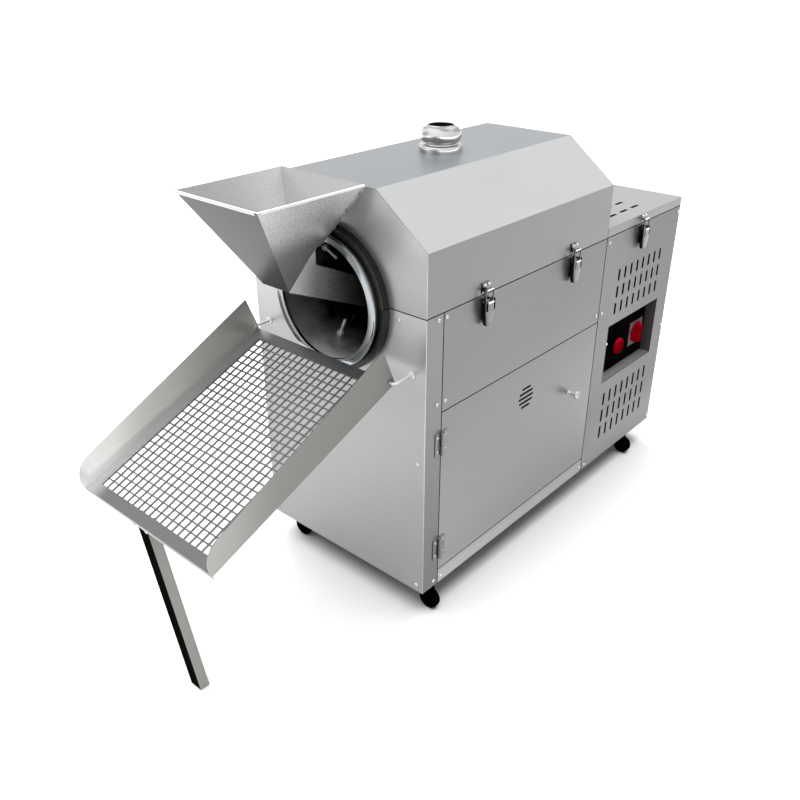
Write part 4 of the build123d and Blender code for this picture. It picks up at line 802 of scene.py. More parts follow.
class Piece:
    """A mesh in the making, drawn in cabinet millimetres."""

    weld = 0.001
    bar_softening = 0.3
    wire_flats = 12

    def __init__(self) -> None:
        """Starts empty."""
        self.bm = bmesh.new()

    def turned(self, profile: Sequence[Pair], foot: Point, axis: Axis, steps: int,
               rounding: float = 0.0, segments: int = 3) -> None:
        """Adds a turned shape.

        Args:
            profile: radius and height of each corner, from the foot upwards.
            foot: where its axis starts.
            axis: where it points.
            steps: number of flats round it.
            rounding: radius to which the profile's inner corners are rounded.
            segments: number of flats in each rounding.
        """
        turn = axis.vector().to_track_quat("Z", "Y").to_matrix().to_4x4()
        work = bmesh.new()
        corners = [work.verts.new((radius, 0.0, height)) for radius, height in profile]
        for first, second in zip(corners, corners[1:]):
            work.edges.new((first, second))
        if rounding:
            soften(work, corners[1:-1], rounding, segments, "VERTICES")
        bmesh.ops.spin(work, geom=work.verts[:] + work.edges[:], cent=(0, 0, 0), axis=(0, 0, 1),
                       angle=math.tau, steps=steps, use_merge=True)
        bmesh.ops.remove_doubles(work, verts=work.verts, dist=self.weld)
        bmesh.ops.recalc_face_normals(work, faces=work.faces)
        bmesh.ops.transform(work, matrix=Matrix.Translation(foot) @ turn, verts=work.verts)
        self.take(work)

    def slab(self, x: Pair, y: Pair, z: Pair, rounding: float = 0.0, segments: int = 2) -> None:
        """Adds a block with softened edges.

        Args:
            x: its span across.
            y: its span along.
            z: its span in height.
            rounding: radius of its edges.
            segments: number of flats in each edge.
        """
        work = bmesh.new()
        bmesh.ops.create_cube(work, size=1.0)
        spans = (x, y, z)
        bmesh.ops.scale(work, vec=[high - low for low, high in spans], verts=work.verts)
        bmesh.ops.translate(work, vec=[(low + high) / 2 for low, high in spans], verts=work.verts)
        if rounding:
            soften(work, work.edges[:], rounding, segments)
        self.take(work)

    def bar(self, start: Point, end: Point, radius: float, steps: int = 10) -> None:
        """Adds a round bar with softened ends.

        Args:
            start: one end.
            end: the other end.
            radius: its radius.
            steps: number of flats round it.
        """
        path = Vector(end) - Vector(start)
        work = bmesh.new()
        bmesh.ops.create_cone(work, cap_ends=True, segments=steps, radius1=radius, radius2=radius,
                              depth=path.length)
        rims = [edge for edge in work.edges if any(len(face.verts) > 4 for face in edge.link_faces)]
        soften(work, rims, radius * self.bar_softening, 2)
        turn = path.to_track_quat("Z", "Y").to_matrix().to_4x4()
        middle = (Vector(start) + Vector(end)) / 2
        bmesh.ops.transform(work, matrix=Matrix.Translation(middle) @ turn, verts=work.verts)
        self.take(work)

    def bent(self, points: Sequence[Point], radius: float, bend: float, steps: int = 6) -> None:
        """Adds a round wire through several points.

        Args:
            points: its ends and its corners.
            radius: the wire's radius.
            bend: radius of its bends.
            steps: number of flats in each bend.
        """
        spots = [Vector(point) for point in points]
        way = (spots[1] - spots[0]).normalized()
        work = bmesh.new()
        seat = Matrix.Translation(spots[0]) @ way.to_track_quat("Z", "Y").to_matrix().to_4x4()
        bmesh.ops.create_circle(work, cap_ends=True, radius=radius, segments=self.wire_flats, matrix=seat)
        front = [edge for edge in work.edges if edge.is_boundary]
        last = spots[0]
        for corner, after in zip(spots[1:], [*spots[2:], None]):
            turn = way.angle(after - corner) if after is not None else 0.0
            reach = corner - way * bend * math.tan(turn / 2)
            grown = bmesh.ops.extrude_edge_only(work, edges=front)["geom"]
            ends = [item for item in grown if isinstance(item, bmesh.types.BMVert)]
            bmesh.ops.translate(work, vec=reach - last, verts=ends)
            front = [item for item in grown if isinstance(item, bmesh.types.BMEdge) and
                     all(vert in ends for vert in item.verts)]
            if after is None:
                bmesh.ops.contextual_create(work, geom=front)
                break
            onward = (after - corner).normalized()
            axis = way.cross(onward).normalized()
            centre = reach + axis.cross(way).normalized() * bend
            turned = bmesh.ops.spin(work, geom=[*ends, *front], cent=centre, axis=axis, angle=turn,
                                    steps=steps)
            front = [item for item in turned["geom_last"] if isinstance(item, bmesh.types.BMEdge)]
            last = corner + onward * bend * math.tan(turn / 2)
            way = onward
        bmesh.ops.remove_doubles(work, verts=work.verts, dist=self.weld)
        bmesh.ops.recalc_face_normals(work, faces=work.faces)
        self.take(work)

    def take(self, work: bmesh.types.BMesh, place: Matrix | None = None) -> None:
        """Joins a finished shape to the piece.

        Args:
            work: the shape, freed afterwards.
            place: where it goes, if it isn't there yet.
        """
        if place is not None:
            bmesh.ops.transform(work, matrix=place, verts=work.verts)
        mesh = bpy.data.meshes.new("work")
        work.to_mesh(mesh)
        work.free()
        self.bm.from_mesh(mesh)
        bpy.data.meshes.remove(mesh)

    def finish(self, name: str, body: str, finish: Finish, slot: str, stands_for: Iterable[str] = (),
               smooth: float = 40.0) -> bpy.types.Object:
        """Makes the piece an object of the scene.

        Args:
            name: the object's name.
            body: moving body that carries it.
            finish: its finish.
            slot: the record's material slot; not used.
            stands_for: solids that it replaces.
            smooth: angle in degrees under which edges are shaded smoothly.

        Returns:
            The object.
        """
        bmesh.ops.transform(self.bm, matrix=CABINET.placing(), verts=self.bm.verts)
        sharp = math.radians(smooth)
        for face in self.bm.faces:
            face.smooth = True
        for edge in self.bm.edges:
            edge.smooth = len(edge.link_faces) == 2 and edge.calc_face_angle(0.0) < sharp
        mesh = bpy.data.meshes.new(name)
        self.bm.to_mesh(mesh)
        self.bm.free()
        piece = bpy.data.objects.new(name, mesh)
        bpy.context.scene.collection.objects.link(piece)
        mesh.materials.append(finish.material())
        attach(piece, body)
        if stands_for:
            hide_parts(*stands_for)
        return piece


@dataclass
class Sieve:
    """Square-holed sheet in the discharge tray."""

    columns: int = 20
    rows: int = 25
    wire: float = 4.0
    depth: float = 3.2
    sheet: float = 1.5
    half: float = 203.5
    length: float = 506.0
    border: float = 25.0
    lap: float = 8.0
    slope: float = 22.3
    rear: Pair = (-39.0, 605.0)

    def place(self) -> Matrix:
        """From the tray's own level to where the tray hangs."""
        return Matrix.Translation((0.0, *self.rear)) @ Matrix.Rotation(math.radians(self.slope), 4, "X")

    def build(self) -> list[bpy.types.Object]:
        """Cuts the holes and gives the sheet its thickness.

        Returns:
            The sieve.
        """
        wide = 2 * (self.half - self.border)
        long = self.length - 2 * self.border
        work = bmesh.new()
        bmesh.ops.create_grid(work, x_segments=self.columns, y_segments=self.rows, size=0.5)
        bmesh.ops.scale(work, vec=(wide, long, 1.0), verts=work.verts)
        cells = bmesh.ops.inset_individual(work, faces=work.faces[:], thickness=self.wire / 2, depth=0.0)
        frame_faces = set(cells["faces"])
        holes = [face for face in work.faces if face not in frame_faces]
        rim = [edge for edge in work.edges if edge.is_boundary]
        outer = bmesh.ops.extrude_edge_only(work, edges=rim)
        skirt = [item for item in outer["geom"] if isinstance(item, bmesh.types.BMVert)]
        bmesh.ops.scale(work, vec=(1 + 2 * self.lap / wide, 1 + 2 * self.lap / long, 1.0), verts=skirt)
        bmesh.ops.delete(work, geom=holes, context="FACES")
        bmesh.ops.remove_doubles(work, verts=work.verts, dist=Piece.weld)
        bmesh.ops.recalc_face_normals(work, faces=work.faces)
        bmesh.ops.solidify(work, geom=work.faces[:], thickness=self.depth)
        bmesh.ops.recalc_face_normals(work, faces=work.faces)
        top = max(vert.co.z for vert in work.verts)
        bmesh.ops.translate(work, vec=(0.0, -self.length / 2, -self.sheet - top), verts=work.verts)
        piece = Piece()
        piece.take(work, self.place())
        return [piece.finish("sieve", "tray", FINISHES.sieve, "tray_steel", ["sieve_mesh"], smooth=30.0)]


@dataclass
class Hopper:
    """Folded feed hopper with a rolled rim and bolted rear seams."""

    half: float = 114.0
    span: Pair = (-275.0, -20.0)
    rim: float = 974.5
    outlet_half: float = 37.5
    outlet_front: Pair = (-152.0, 783.0)
    outlet_rear: Pair = (-80.0, 852.0)
    wall: float = 1.5
    roll: float = 2.4
    roll_flats: int = 14
    corner_gap: float = 7.0
    closed_gap: float = 1.4
    cuts: int = 3
    seam_width: float = 11.0
    seam_share: Pair = (0.06, 0.97)
    bolts: int = 4
    bolt_share: Pair = (0.08, 0.92)
    bolt_line: float = 0.55
    bolt_reach: Pair = (2.2, 3.6)
    bolt_radius: float = 2.6

    def corners(self) -> tuple[list[Vector], list[Vector]]:
        """Corners of the rim and of the outlet.

        Returns:
            Both loops in the same order, starting at the left front.
        """
        front, rear = self.span
        rim = [Vector((x, y, self.rim)) for x, y in ((-self.half, front), (self.half, front),
                                                     (self.half, rear), (-self.half, rear))]
        outlet = [Vector((side * self.outlet_half, *spot)) for side, spot in (
            (-1, self.outlet_front), (1, self.outlet_front), (1, self.outlet_rear), (-1, self.outlet_rear))]
        return rim, outlet

    def sheet(self) -> bpy.types.Object:
        """Four sloping walls between the rim and the outlet.

        Returns:
            The hopper's body.
        """
        work = bmesh.new()
        loops = []
        for corners in self.corners():
            ring = [work.verts.new(corner) for corner in corners]
            loops += [work.edges.new((ring[index - 1], ring[index])) for index in range(len(ring))]
        bmesh.ops.bridge_loops(work, edges=loops)
        bmesh.ops.subdivide_edges(work, edges=work.edges[:], cuts=self.cuts, use_grid_fill=True)
        bmesh.ops.recalc_face_normals(work, faces=work.faces)
        corners = [corner for loop in self.corners() for corner in loop]
        middle = sum(corners, Vector()) / len(corners)
        face = work.faces[:][0]
        if face.normal.dot(face.calc_center_median() - middle) < 0:
            bmesh.ops.reverse_faces(work, faces=work.faces)
        bmesh.ops.solidify(work, geom=work.faces[:], thickness=self.wall)
        piece = Piece()
        piece.take(work)
        body = "hopper"
        return piece.finish("hopper_sheet", body, FINISHES.hopper, "hopper_steel", [body], smooth=20.0)

    def rolled_rim(self) -> bpy.types.Object:
        """Rolled hems along the four upper edges, apart at the front right corner.

        Returns:
            The hems.
        """
        piece = Piece()
        drop = Vector((0.0, 0.0, -self.roll))
        rim = [corner + drop for corner in self.corners()[0]]
        for index, start in enumerate(rim):
            end = rim[(index + 1) % len(rim)]
            way = (end - start).normalized()
            first = self.corner_gap if index == 1 else self.closed_gap
            last = self.corner_gap if index == 0 else self.closed_gap
            piece.bar(start + way * first, end - way * last, self.roll, self.roll_flats)
        return piece.finish("hopper_rim", "hopper", FINISHES.hem, "hopper_steel")

    def seams(self) -> list[bpy.types.Object]:
        """Flat seams down the rear corners with their bolts.

        Returns:
            The seams and the bolts.
        """
        rim, outlet = self.corners()
        strips = Piece()
        heads = Piece()
        for side, index in ((1, 2), (-1, 3)):
            top, foot = (rim[index].lerp(outlet[index], share) for share in self.seam_share)
            front = rim[1 if side > 0 else 0]
            down = (foot - top).normalized()
            out = (rim[index] - front).cross(down).normalized()
            out = out if out.x * side > 0 else -out
            back = down.cross(out).normalized()
            back = back if back.y > 0 else -back
            work = bmesh.new()
            ring = [work.verts.new(corner) for corner in (top, foot, foot + back * self.seam_width,
                                                          top + back * self.seam_width)]
            work.faces.new(ring)
            bmesh.ops.solidify(work, geom=work.faces[:], thickness=self.wall)
            bmesh.ops.recalc_face_normals(work, faces=work.faces)
            strips.take(work)
            for number in range(self.bolts):
                low, high = self.bolt_share
                share = low + (high - low) * number / (self.bolts - 1)
                spot = top.lerp(foot, share) + back * self.seam_width * self.bolt_line
                under, over = self.bolt_reach
                heads.bar(spot - out * under, spot + out * over, self.bolt_radius, HEXAGON)
        return [strips.finish("hopper_seams", "hopper", FINISHES.hopper, "hopper_steel"),
                heads.finish("hopper_bolts", "hopper", FINISHES.machine, "bright_steel")]

    def build(self) -> list[bpy.types.Object]:
        """Body, rim and seams.

        Returns:
            The hopper's pieces.
        """
        return [self.sheet(), self.rolled_rim(), *self.seams()]


@dataclass
class Chimney:
    """Polished flue outlet on the roof."""

    y: float = 342.0
    steps: int = 72
    flange: Profile = ((48.0, 0.0), (48.0, 11.0), (47.4, 13.2), (45.6, 14.6), (39.5, 15.0), (37.6, 15.6),
                       (37.2, 17.4))
    bulb_centre: Pair = (28.0, 34.0)
    bulb_radii: Pair = (17.0, 20.0)
    bulb_start: float = -52.0
    bulb_step: float = 12.0
    bulb_points: int = 12
    lip: Profile = ((29.2, 55.4), (28.4, 56.0), (27.8, 55.4), (27.6, 52.0), (27.5, 28.0))
    lining: Profile = ((27.4, 54.8), (27.0, 53.4), (27.0, 2.0))

    def bulb(self) -> list[Pair]:
        """Outline of the rounded bulb over the flange.

        Returns:
            Radius and height of its corners, from below.
        """
        turns = [math.radians(self.bulb_start + self.bulb_step * step) for step in range(self.bulb_points)]
        return [(self.bulb_centre[0] + self.bulb_radii[0] * math.cos(turn),
                 self.bulb_centre[1] + self.bulb_radii[1] * math.sin(turn)) for turn in turns]

    def build(self) -> list[bpy.types.Object]:
        """Turns the outlet and its sooted lining.

        Returns:
            The outlet and its lining.
        """
        foot = (0.0, self.y, CABINET.roof)
        body = Piece()
        body.turned([*self.flange, *self.bulb(), *self.lip], foot, Axis.UP, self.steps)
        inside = Piece()
        inside.turned(self.lining, foot, Axis.UP, self.steps)
        bmesh.ops.reverse_faces(inside.bm, faces=[face for face in inside.bm.faces if self.outward(face)])
        return [body.finish("chimney_outlet", "hood", FINISHES.flue_pipe, "bright_steel", ["chimney"],
                            smooth=50.0),
                inside.finish("chimney_lining", "hood", FINISHES.flue, "dark_steel")]

    def outward(self, face: bmesh.types.BMFace) -> bool:
        """Whether a face of the lining looks away from the flue's axis."""
        centre = face.calc_center_median()
        return face.normal.dot(Vector((centre.x, centre.y - self.y, 0.0))) > 0


@dataclass
class DrumMouth:
    """Rounded bright ring on the drum's front edge."""

    outer: float = 144.0
    inner: float = 126.0
    front: float = -33.0
    depth: float = 8.0
    rounding: float = 3.8
    steps: int = 120

    def build(self) -> list[bpy.types.Object]:
        """Turns the ring.

        Returns:
            The ring.
        """
        ring = Piece()
        profile = ((self.inner, 0.0), (self.inner, self.depth), (self.outer, self.depth), (self.outer, 0.0))
        foot = (0.0, self.front + self.depth, CABINET.axis)
        ring.turned(profile, foot, Axis.FRONT, self.steps, self.rounding, segments=5)
        return [ring.finish("drum_rim_ring", "drum", FINISHES.rim, "bright_steel", ["drum_rim"], smooth=60.0)]


@dataclass
class Latch:
    """Over-centre toggle latch: a channel lever with a rolled end, and rolled ears on its keeper."""

    name: str
    y: float
    keeper_body: str
    keeper_rise: float = 21.0
    pivot: Pair = (258.0, 726.0)
    top_half: float = 17.0
    end_half: float = 9.5
    channel_top: Pair = (-4.6, 9.5)
    channel_end: Pair = (-1.0, 7.5)
    shoulder: float = 19.0
    length: float = 54.0
    wall: float = 1.4
    fold: float = 4.2
    cheek: float = 1.8
    cheek_x: Pair = (-3.6, 8.4)
    cheek_z: Pair = (-26.0, 3.6)
    cheek_rounding: float = 0.7
    pin_radius: float = 2.6
    pin_proud: float = 1.2
    tongue_half: float = 9.5
    tongue_x: Pair = (7.0, 9.0)
    tongue_z: Pair = (-24.0, -3.0)
    tongue_rounding: float = 0.6
    bar_at: Pair = (8.2, -2.4)
    bar_radius: float = 2.4
    bail: Pair = (262.6, 750.0)
    sleeve_half: float = 10.4
    sleeve_radius: float = 1.95
    curl_shift: float = 6.5
    curl_half: float = 4.0
    curl_out: float = 3.6
    curl_radius: float = 3.4
    flats: int = 14

    def crossbar(self, piece: Piece, x: float, z: float, half: float, radius: float,
                 shift: float = 0.0) -> None:
        """Adds a round bar that lies along the cabinet.

        Args:
            piece: piece that takes it.
            x: where it lies across.
            z: where it lies in height.
            half: half its length.
            radius: its radius.
            shift: distance of its middle from the latch's.
        """
        y = self.y + shift
        piece.bar((x, y - half, z), (x, y + half, z), radius, self.flats)

    def channel(self) -> bmesh.types.BMesh:
        """Sheet channel, open behind and above, that tapers to a rounded tip.

        Returns:
            The channel, with the pivot at zero.
        """
        work = bmesh.new()
        bmesh.ops.create_cube(work, size=2.0)
        for vert in work.verts:
            upper = vert.co.z > 0
            back, face = self.channel_top if upper else self.channel_end
            half = self.top_half if upper else self.end_half
            vert.co = Vector((face if vert.co.x > 0 else back, half * vert.co.y,
                              -self.shoulder if upper else -self.length))
        bmesh.ops.delete(work, geom=[face for face in work.faces if face.normal.z > 0.5 or
                                     all(vert.co.x < 0 for vert in face.verts)], context="FACES")
        soften(work, [edge for edge in work.edges if len(edge.link_faces) == 2], self.fold, 4)
        bmesh.ops.recalc_face_normals(work, faces=work.faces)
        middle = Vector((sum(self.channel_top) / 2, 0.0, -(self.shoulder + self.length) / 2))
        face = max(work.faces, key=lambda item: item.calc_area())
        if face.normal.dot(face.calc_center_median() - middle) < 0:
            bmesh.ops.reverse_faces(work, faces=work.faces)
        bmesh.ops.solidify(work, geom=work.faces[:], thickness=self.wall)
        return work

    def lever(self) -> list[bpy.types.Object]:
        """Channel with its cheeks, pin and tongue, and the bar.

        Returns:
            The lever and its bar.
        """
        x, z = self.pivot
        piece = Piece()
        piece.take(self.channel(), Matrix.Translation((x, self.y, z)))
        cheek_x = (x + self.cheek_x[0], x + self.cheek_x[1])
        cheek_z = (z + self.cheek_z[0], z + self.cheek_z[1])
        for side in (-1, 1):
            outer = self.y + side * self.top_half
            inner = outer - side * self.cheek
            piece.slab(cheek_x, (min(inner, outer), max(inner, outer)), cheek_z, self.cheek_rounding)
        self.crossbar(piece, x, z, self.top_half + self.pin_proud, self.pin_radius)
        piece.slab((x + self.tongue_x[0], x + self.tongue_x[1]),
                   (self.y - self.tongue_half, self.y + self.tongue_half),
                   (z + self.tongue_z[0], z + self.tongue_z[1]), self.tongue_rounding)
        bar = Piece()
        self.crossbar(bar, x + self.bar_at[0], z + self.bar_at[1], self.tongue_half, self.bar_radius)
        body = f"{self.name}_latch_lever"
        return [piece.finish(f"{self.name}_lever", body, FINISHES.chrome, "bright_steel", [body],
                             smooth=35.0),
                bar.finish(f"{self.name}_lever_bar", body, FINISHES.bar, "bright_steel")]

    def curls(self) -> bpy.types.Object:
        """Rolled ears on the keeper's upper edge.

        Returns:
            The ears.
        """
        z = CABINET.split + self.keeper_rise
        piece = Piece()
        for shift in (-self.curl_shift, self.curl_shift):
            self.crossbar(piece, CABINET.half + self.curl_out, z, self.curl_half, self.curl_radius, shift)
        return piece.finish(f"{self.name}_keeper_curls", self.keeper_body, FINISHES.bright, "bright_steel")

    def sleeve(self) -> bpy.types.Object:
        """Bright sleeve on the bail's crossbar.

        Returns:
            The sleeve.
        """
        piece = Piece()
        self.crossbar(piece, *self.bail, self.sleeve_half, self.sleeve_radius)
        name = f"{self.name}_bail_sleeve"
        return piece.finish(name, f"{self.name}_latch_bail", FINISHES.bar, "bright_steel")

    def build(self) -> list[bpy.types.Object]:
        """Lever, sleeve and keeper ears.

        Returns:
            The latch's pieces.
        """
        return [*self.lever(), self.sleeve(), self.curls()]


@dataclass
class Fasteners:
    """Domed screw heads on the panels and the hinge leaves."""

    profile: Profile = (
        (5.0, 0.0), (5.0, 0.7), (4.4, 1.7), (3.2, 2.5), (1.7, 2.9), (1.5, 2.0), (0.0, 2.0))
    steps: int = 12
    front_end: tuple[Pair, ...] = (
        (37.0, 13.0), (62.0, 13.0), (37.0, 197.0), (63.0, 197.0), (38.0, 654.0), (64.0, 656.0))
    bulkhead: tuple[Pair, ...] = (
        (672.0, 200.0), (701.0, 202.0), (699.0, 16.0), (676.0, 655.0), (703.0, 658.0))
    rear_end: tuple[Pair, ...] = ((1075.0, 655.0), (1074.0, 350.0), (1074.0, 16.0))
    face: tuple[Pair, ...] = ((180.0, 20.0), (232.0, 330.0), (232.0, 650.0))
    left_hinges: tuple[tuple[float, str], ...] = (
        (100.0, "hood"), (540.0, "hood"), (740.0, "control_cover"), (980.0, "control_cover"))
    left_leaves: Pair = (-17.0, 16.0)
    door_hinges: tuple[float, ...] = (320.0, 592.0)
    door_leaves: Pair = (40.0, 65.0)
    hinge_spots: tuple[float, ...] = (10.0, 44.0)
    hinge_scale: float = 0.6
    leaf: float = 2.0

    def head(self, piece: Piece, foot: Point, axis: Axis, scale: float = 1.0) -> None:
        """Adds one domed head with its socket.

        Args:
            piece: piece that takes it.
            foot: where it sits.
            axis: where it points.
            scale: its size against a panel screw.
        """
        profile = [(radius * scale, rise * scale) for radius, rise in self.profile]
        piece.turned(profile, foot, axis, self.steps)

    def panels(self) -> bpy.types.Object:
        """Screws of the cabinet's panels.

        Returns:
            The screws.
        """
        piece = Piece()
        for side, axis in ((1, Axis.RIGHT), (-1, Axis.LEFT)):
            for y, drop in (*self.front_end, *self.bulkhead, *self.rear_end):
                self.head(piece, (side * CABINET.half, y, CABINET.split - drop), axis)
            for x, drop in self.face:
                self.head(piece, (side * x, 0.0, CABINET.split - drop), Axis.FRONT)
        return piece.finish("panel_screw_heads", "cabinet", FINISHES.bright, "bright_steel", ["panel_screws"])

    def hinges(self) -> list[bpy.types.Object]:
        """Screws of the hinge leaves, each on its own body.

        Returns:
            The screws.
        """
        fixed = Piece()
        moving = {"hood": Piece(), "control_cover": Piece(), "side_door": Piece()}
        wall = CABINET.half + self.leaf
        for y, body in self.left_hinges:
            for spot in self.hinge_spots:
                for piece, rise in zip((fixed, moving[body]), self.left_leaves):
                    self.head(piece, (-wall, y + spot, CABINET.split + rise), Axis.LEFT, self.hinge_scale)
        for drop in self.door_hinges:
            for spot in self.hinge_spots:
                for piece, y in zip((fixed, moving["side_door"]), self.door_leaves):
                    self.head(piece, (wall, y, CABINET.split - drop + spot), Axis.RIGHT, self.hinge_scale)
        made = [fixed.finish("fixed_hinge_screws", "cabinet", FINISHES.bright, "bright_steel")]
        made += [piece.finish(f"{body}_hinge_screws", body, FINISHES.bright, "bright_steel")
                 for body, piece in moving.items()]
        return made

    def build(self) -> list[bpy.types.Object]:
        """All screw heads.

        Returns:
            The pieces.
        """
        return [self.panels(), *self.hinges()]


@dataclass
class DoorKnob:
    """Turned pull knob on the side door."""

    y: float = 572.0
    z: float = 360.5
    steps: int = 40
    rounding: float = 0.7
    profile: Profile = (
        (6.0, 0.0), (6.0, 1.2), (4.8, 2.0), (4.4, 4.0), (4.4, 12.0), (5.2, 15.0), (7.6, 18.6), (10.5, 22.0),
        (11.3, 25.0), (10.9, 27.2), (9.4, 28.0), (3.4, 27.4), (2.6, 26.0), (0.0, 25.6))

    def build(self) -> list[bpy.types.Object]:
        """Turns the knob.

        Returns:
            The knob.
        """
        piece = Piece()
        foot = (CABINET.half, self.y, self.z)
        piece.turned(self.profile, foot, Axis.RIGHT, self.steps, self.rounding, segments=2)
        return [piece.finish("door_pull", "side_door", FINISHES.knob, "bright_steel", ["door_knob"],
                             smooth=35.0)]


@dataclass
class Controls:
    """Stop button, rotary switch with its bordered plate, and a lamp."""

    face: float = 220.0
    z: float = 391.0
    stop_y: float = 850.0
    switch_y: float = 972.0
    lamp: Pair = (795.0, 412.0)
    button: Profile = ((8.9, -7.0), (8.9, 11.0), (20.5, 11.0), (23.0, 13.0), (23.0, 17.0), (21.6, 20.2),
                       (17.5, 22.4), (10.0, 23.4), (0.0, 23.6))
    collar: Profile = ((9.3, 0.0), (9.3, 6.0), (16.0, 6.0), (17.0, 5.0), (17.0, 0.0))
    disc: Profile = ((8.0, -7.0), (8.0, 3.4), (30.0, 3.4), (30.0, 7.2), (27.0, 9.4), (0.0, 10.0))
    cap: Profile = ((4.6, 2.0), (4.6, 6.0), (3.6, 8.0), (1.8, 9.0), (0.0, 9.2))
    bezel: Profile = ((4.7, 0.0), (4.7, 3.6), (6.4, 3.2), (7.0, 2.0), (7.0, 0.0))
    wide_steps: int = 48
    collar_steps: int = 40
    lamp_steps: int = 24
    button_rounding: float = 0.5
    collar_rounding: float = 0.4
    disc_rounding: float = 0.8
    cap_rounding: float = 0.3
    plate_half: float = 36.0
    plate_depth: float = 2.7
    plate_rounding: float = 0.8
    border: float = 4.5
    border_seat: float = 2.6
    border_depth: float = 0.8
    grip_x: Pair = (6.0, 20.3)
    grip_half: Pair = (8.5, 27.0)
    grip_rounding: float = 3.2

    def stop(self) -> list[bpy.types.Object]:
        """Mushroom button and its collar.

        Returns:
            The button and the collar.
        """
        spot = (self.face, self.stop_y, self.z)
        button = Piece()
        button.turned(self.button, spot, Axis.RIGHT, self.wide_steps, self.button_rounding, segments=2)
        collar = Piece()
        collar.turned(self.collar, spot, Axis.RIGHT, self.collar_steps, self.collar_rounding, segments=2)
        body = "stop_button"
        return [button.finish("stop_head", body, FINISHES.red, "red_plastic", [body], smooth=30.0),
                collar.finish("stop_collar", "cabinet", FINISHES.castor, "black_plate")]

    def plate(self) -> list[bpy.types.Object]:
        """Pale square plate with a coloured border.

        Returns:
            The plate and its border.
        """
        y = (self.switch_y - self.plate_half, self.switch_y + self.plate_half)
        z = (self.z - self.plate_half, self.z + self.plate_half)
        plate = Piece()
        plate.slab((self.face, self.face + self.plate_depth), y, z, self.plate_rounding)
        work = bmesh.new()
        bmesh.ops.create_grid(work, x_segments=1, y_segments=1, size=self.plate_half)
        rim = bmesh.ops.inset_region(work, faces=work.faces[:], thickness=self.border, use_boundary=True,
                                     use_even_offset=True)["faces"]
        bmesh.ops.delete(work, geom=[face for face in work.faces if face not in rim], context="FACES")
        bmesh.ops.solidify(work, geom=work.faces[:], thickness=self.border_depth)
        bmesh.ops.recalc_face_normals(work, faces=work.faces)
        border = Piece()
        turn = Matrix.Rotation(math.radians(90.0), 4, "Y")
        seat = (self.face + self.border_seat, self.switch_y, self.z)
        border.take(work, Matrix.Translation(seat) @ turn)
        return [plate.finish("switch_plate", "cabinet", FINISHES.pale, "pale_fittings", ["control_fittings"]),
                border.finish("switch_border", "cabinet", FINISHES.maroon, "red_plastic")]

    def handle(self) -> bpy.types.Object:
        """Round handle with a raised grip.

        Returns:
            The handle.
        """
        piece = Piece()
        spot = (self.face, self.switch_y, self.z)
        piece.turned(self.disc, spot, Axis.RIGHT, self.wide_steps, self.disc_rounding, segments=2)
        across, up = self.grip_half
        piece.slab((self.face + self.grip_x[0], self.face + self.grip_x[1]),
                   (self.switch_y - across, self.switch_y + across), (self.z - up, self.z + up),
                   self.grip_rounding, segments=4)
        body = "rotary_switch"
        return piece.finish("switch_handle", body, FINISHES.red, "red_plastic", [body], smooth=35.0)

    def light(self) -> list[bpy.types.Object]:
        """Lamp cap in its bezel.

        Returns:
            The cap and the bezel.
        """
        spot = (self.face, *self.lamp)
        cap = Piece()
        cap.turned(self.cap, spot, Axis.RIGHT, self.lamp_steps, self.cap_rounding, segments=2)
        bezel = Piece()
        bezel.turned(self.bezel, spot, Axis.RIGHT, self.lamp_steps)
        return [cap.finish("lamp_cap", "cabinet", FINISHES.lamp, "pale_fittings"),
                bezel.finish("lamp_bezel", "cabinet", FINISHES.bright, "bright_steel")]

    def build(self) -> list[bpy.types.Object]:
        """Everything in the control window.

        Returns:
            The pieces.
        """
        return [*self.stop(), *self.plate(), self.handle(), *self.light()]


@dataclass
class Castors:
    """Four swivel castors: rubber tyres with hubs and axle nuts."""

    x: float = 212.0
    ends: Pair = (44.0, 963.0)
    trail: float = 24.0
    radius: float = 25.0
    width: float = 20.0
    steps: int = 48
    tyre: Profile = (
        (4.3, 2.5), (8.0, 2.5), (8.6, 0.6), (10.6, 0.6), (11.2, 2.6), (15.0, 2.6), (16.0, 0.4), (20.0, 0.0),
        (23.4, 1.2), (24.7, 4.0), (25.0, 7.4), (24.5, 8.2), (24.5, 11.8), (25.0, 12.6), (24.7, 16.0),
        (23.4, 18.8), (20.0, 20.0), (16.0, 19.6), (15.0, 17.4), (11.2, 17.4), (10.6, 19.4), (8.6, 19.4),
        (8.0, 17.5), (4.3, 17.5))
    nut: Profile = ((5.8, 0.0), (5.8, 2.4), (4.6, 3.2), (0.0, 3.2))
    nut_gap: float = 3.4

    def wheel(self, name: str, x: float, y: float) -> list[bpy.types.Object]:
        """One wheel on its axle.

        Args:
            name: which castor it is.
            x: axle across.
            y: wheel's middle along.

        Returns:
            The tyre and the axle nuts.
        """
        tyre = Piece()
        tyre.turned(self.tyre, (x, y - self.width / 2, self.radius), Axis.REAR, self.steps)
        nuts = Piece()
        reach = self.width / 2 + self.nut_gap
        for side, axis in ((-1, Axis.FRONT), (1, Axis.REAR)):
            nuts.turned(self.nut, (x, y + side * reach, self.radius), axis, HEXAGON)
        body = f"{name}_wheel"
        return [tyre.finish(f"{name}_tyre", body, FINISHES.rubber, "wheel_rubber", [body]),
                nuts.finish(f"{name}_axle_nuts", f"{name}_fork", FINISHES.castor, "castor_black")]

    def build(self) -> list[bpy.types.Object]:
        """All four wheels.

        Returns:
            The pieces.
        """
        made = []
        for side, across in ((-1, "left"), (1, "right")):
            for y, along in zip(self.ends, ("front", "rear")):
                made += self.wheel(f"{along}_{across}", side * self.x + self.trail, y)
        return made


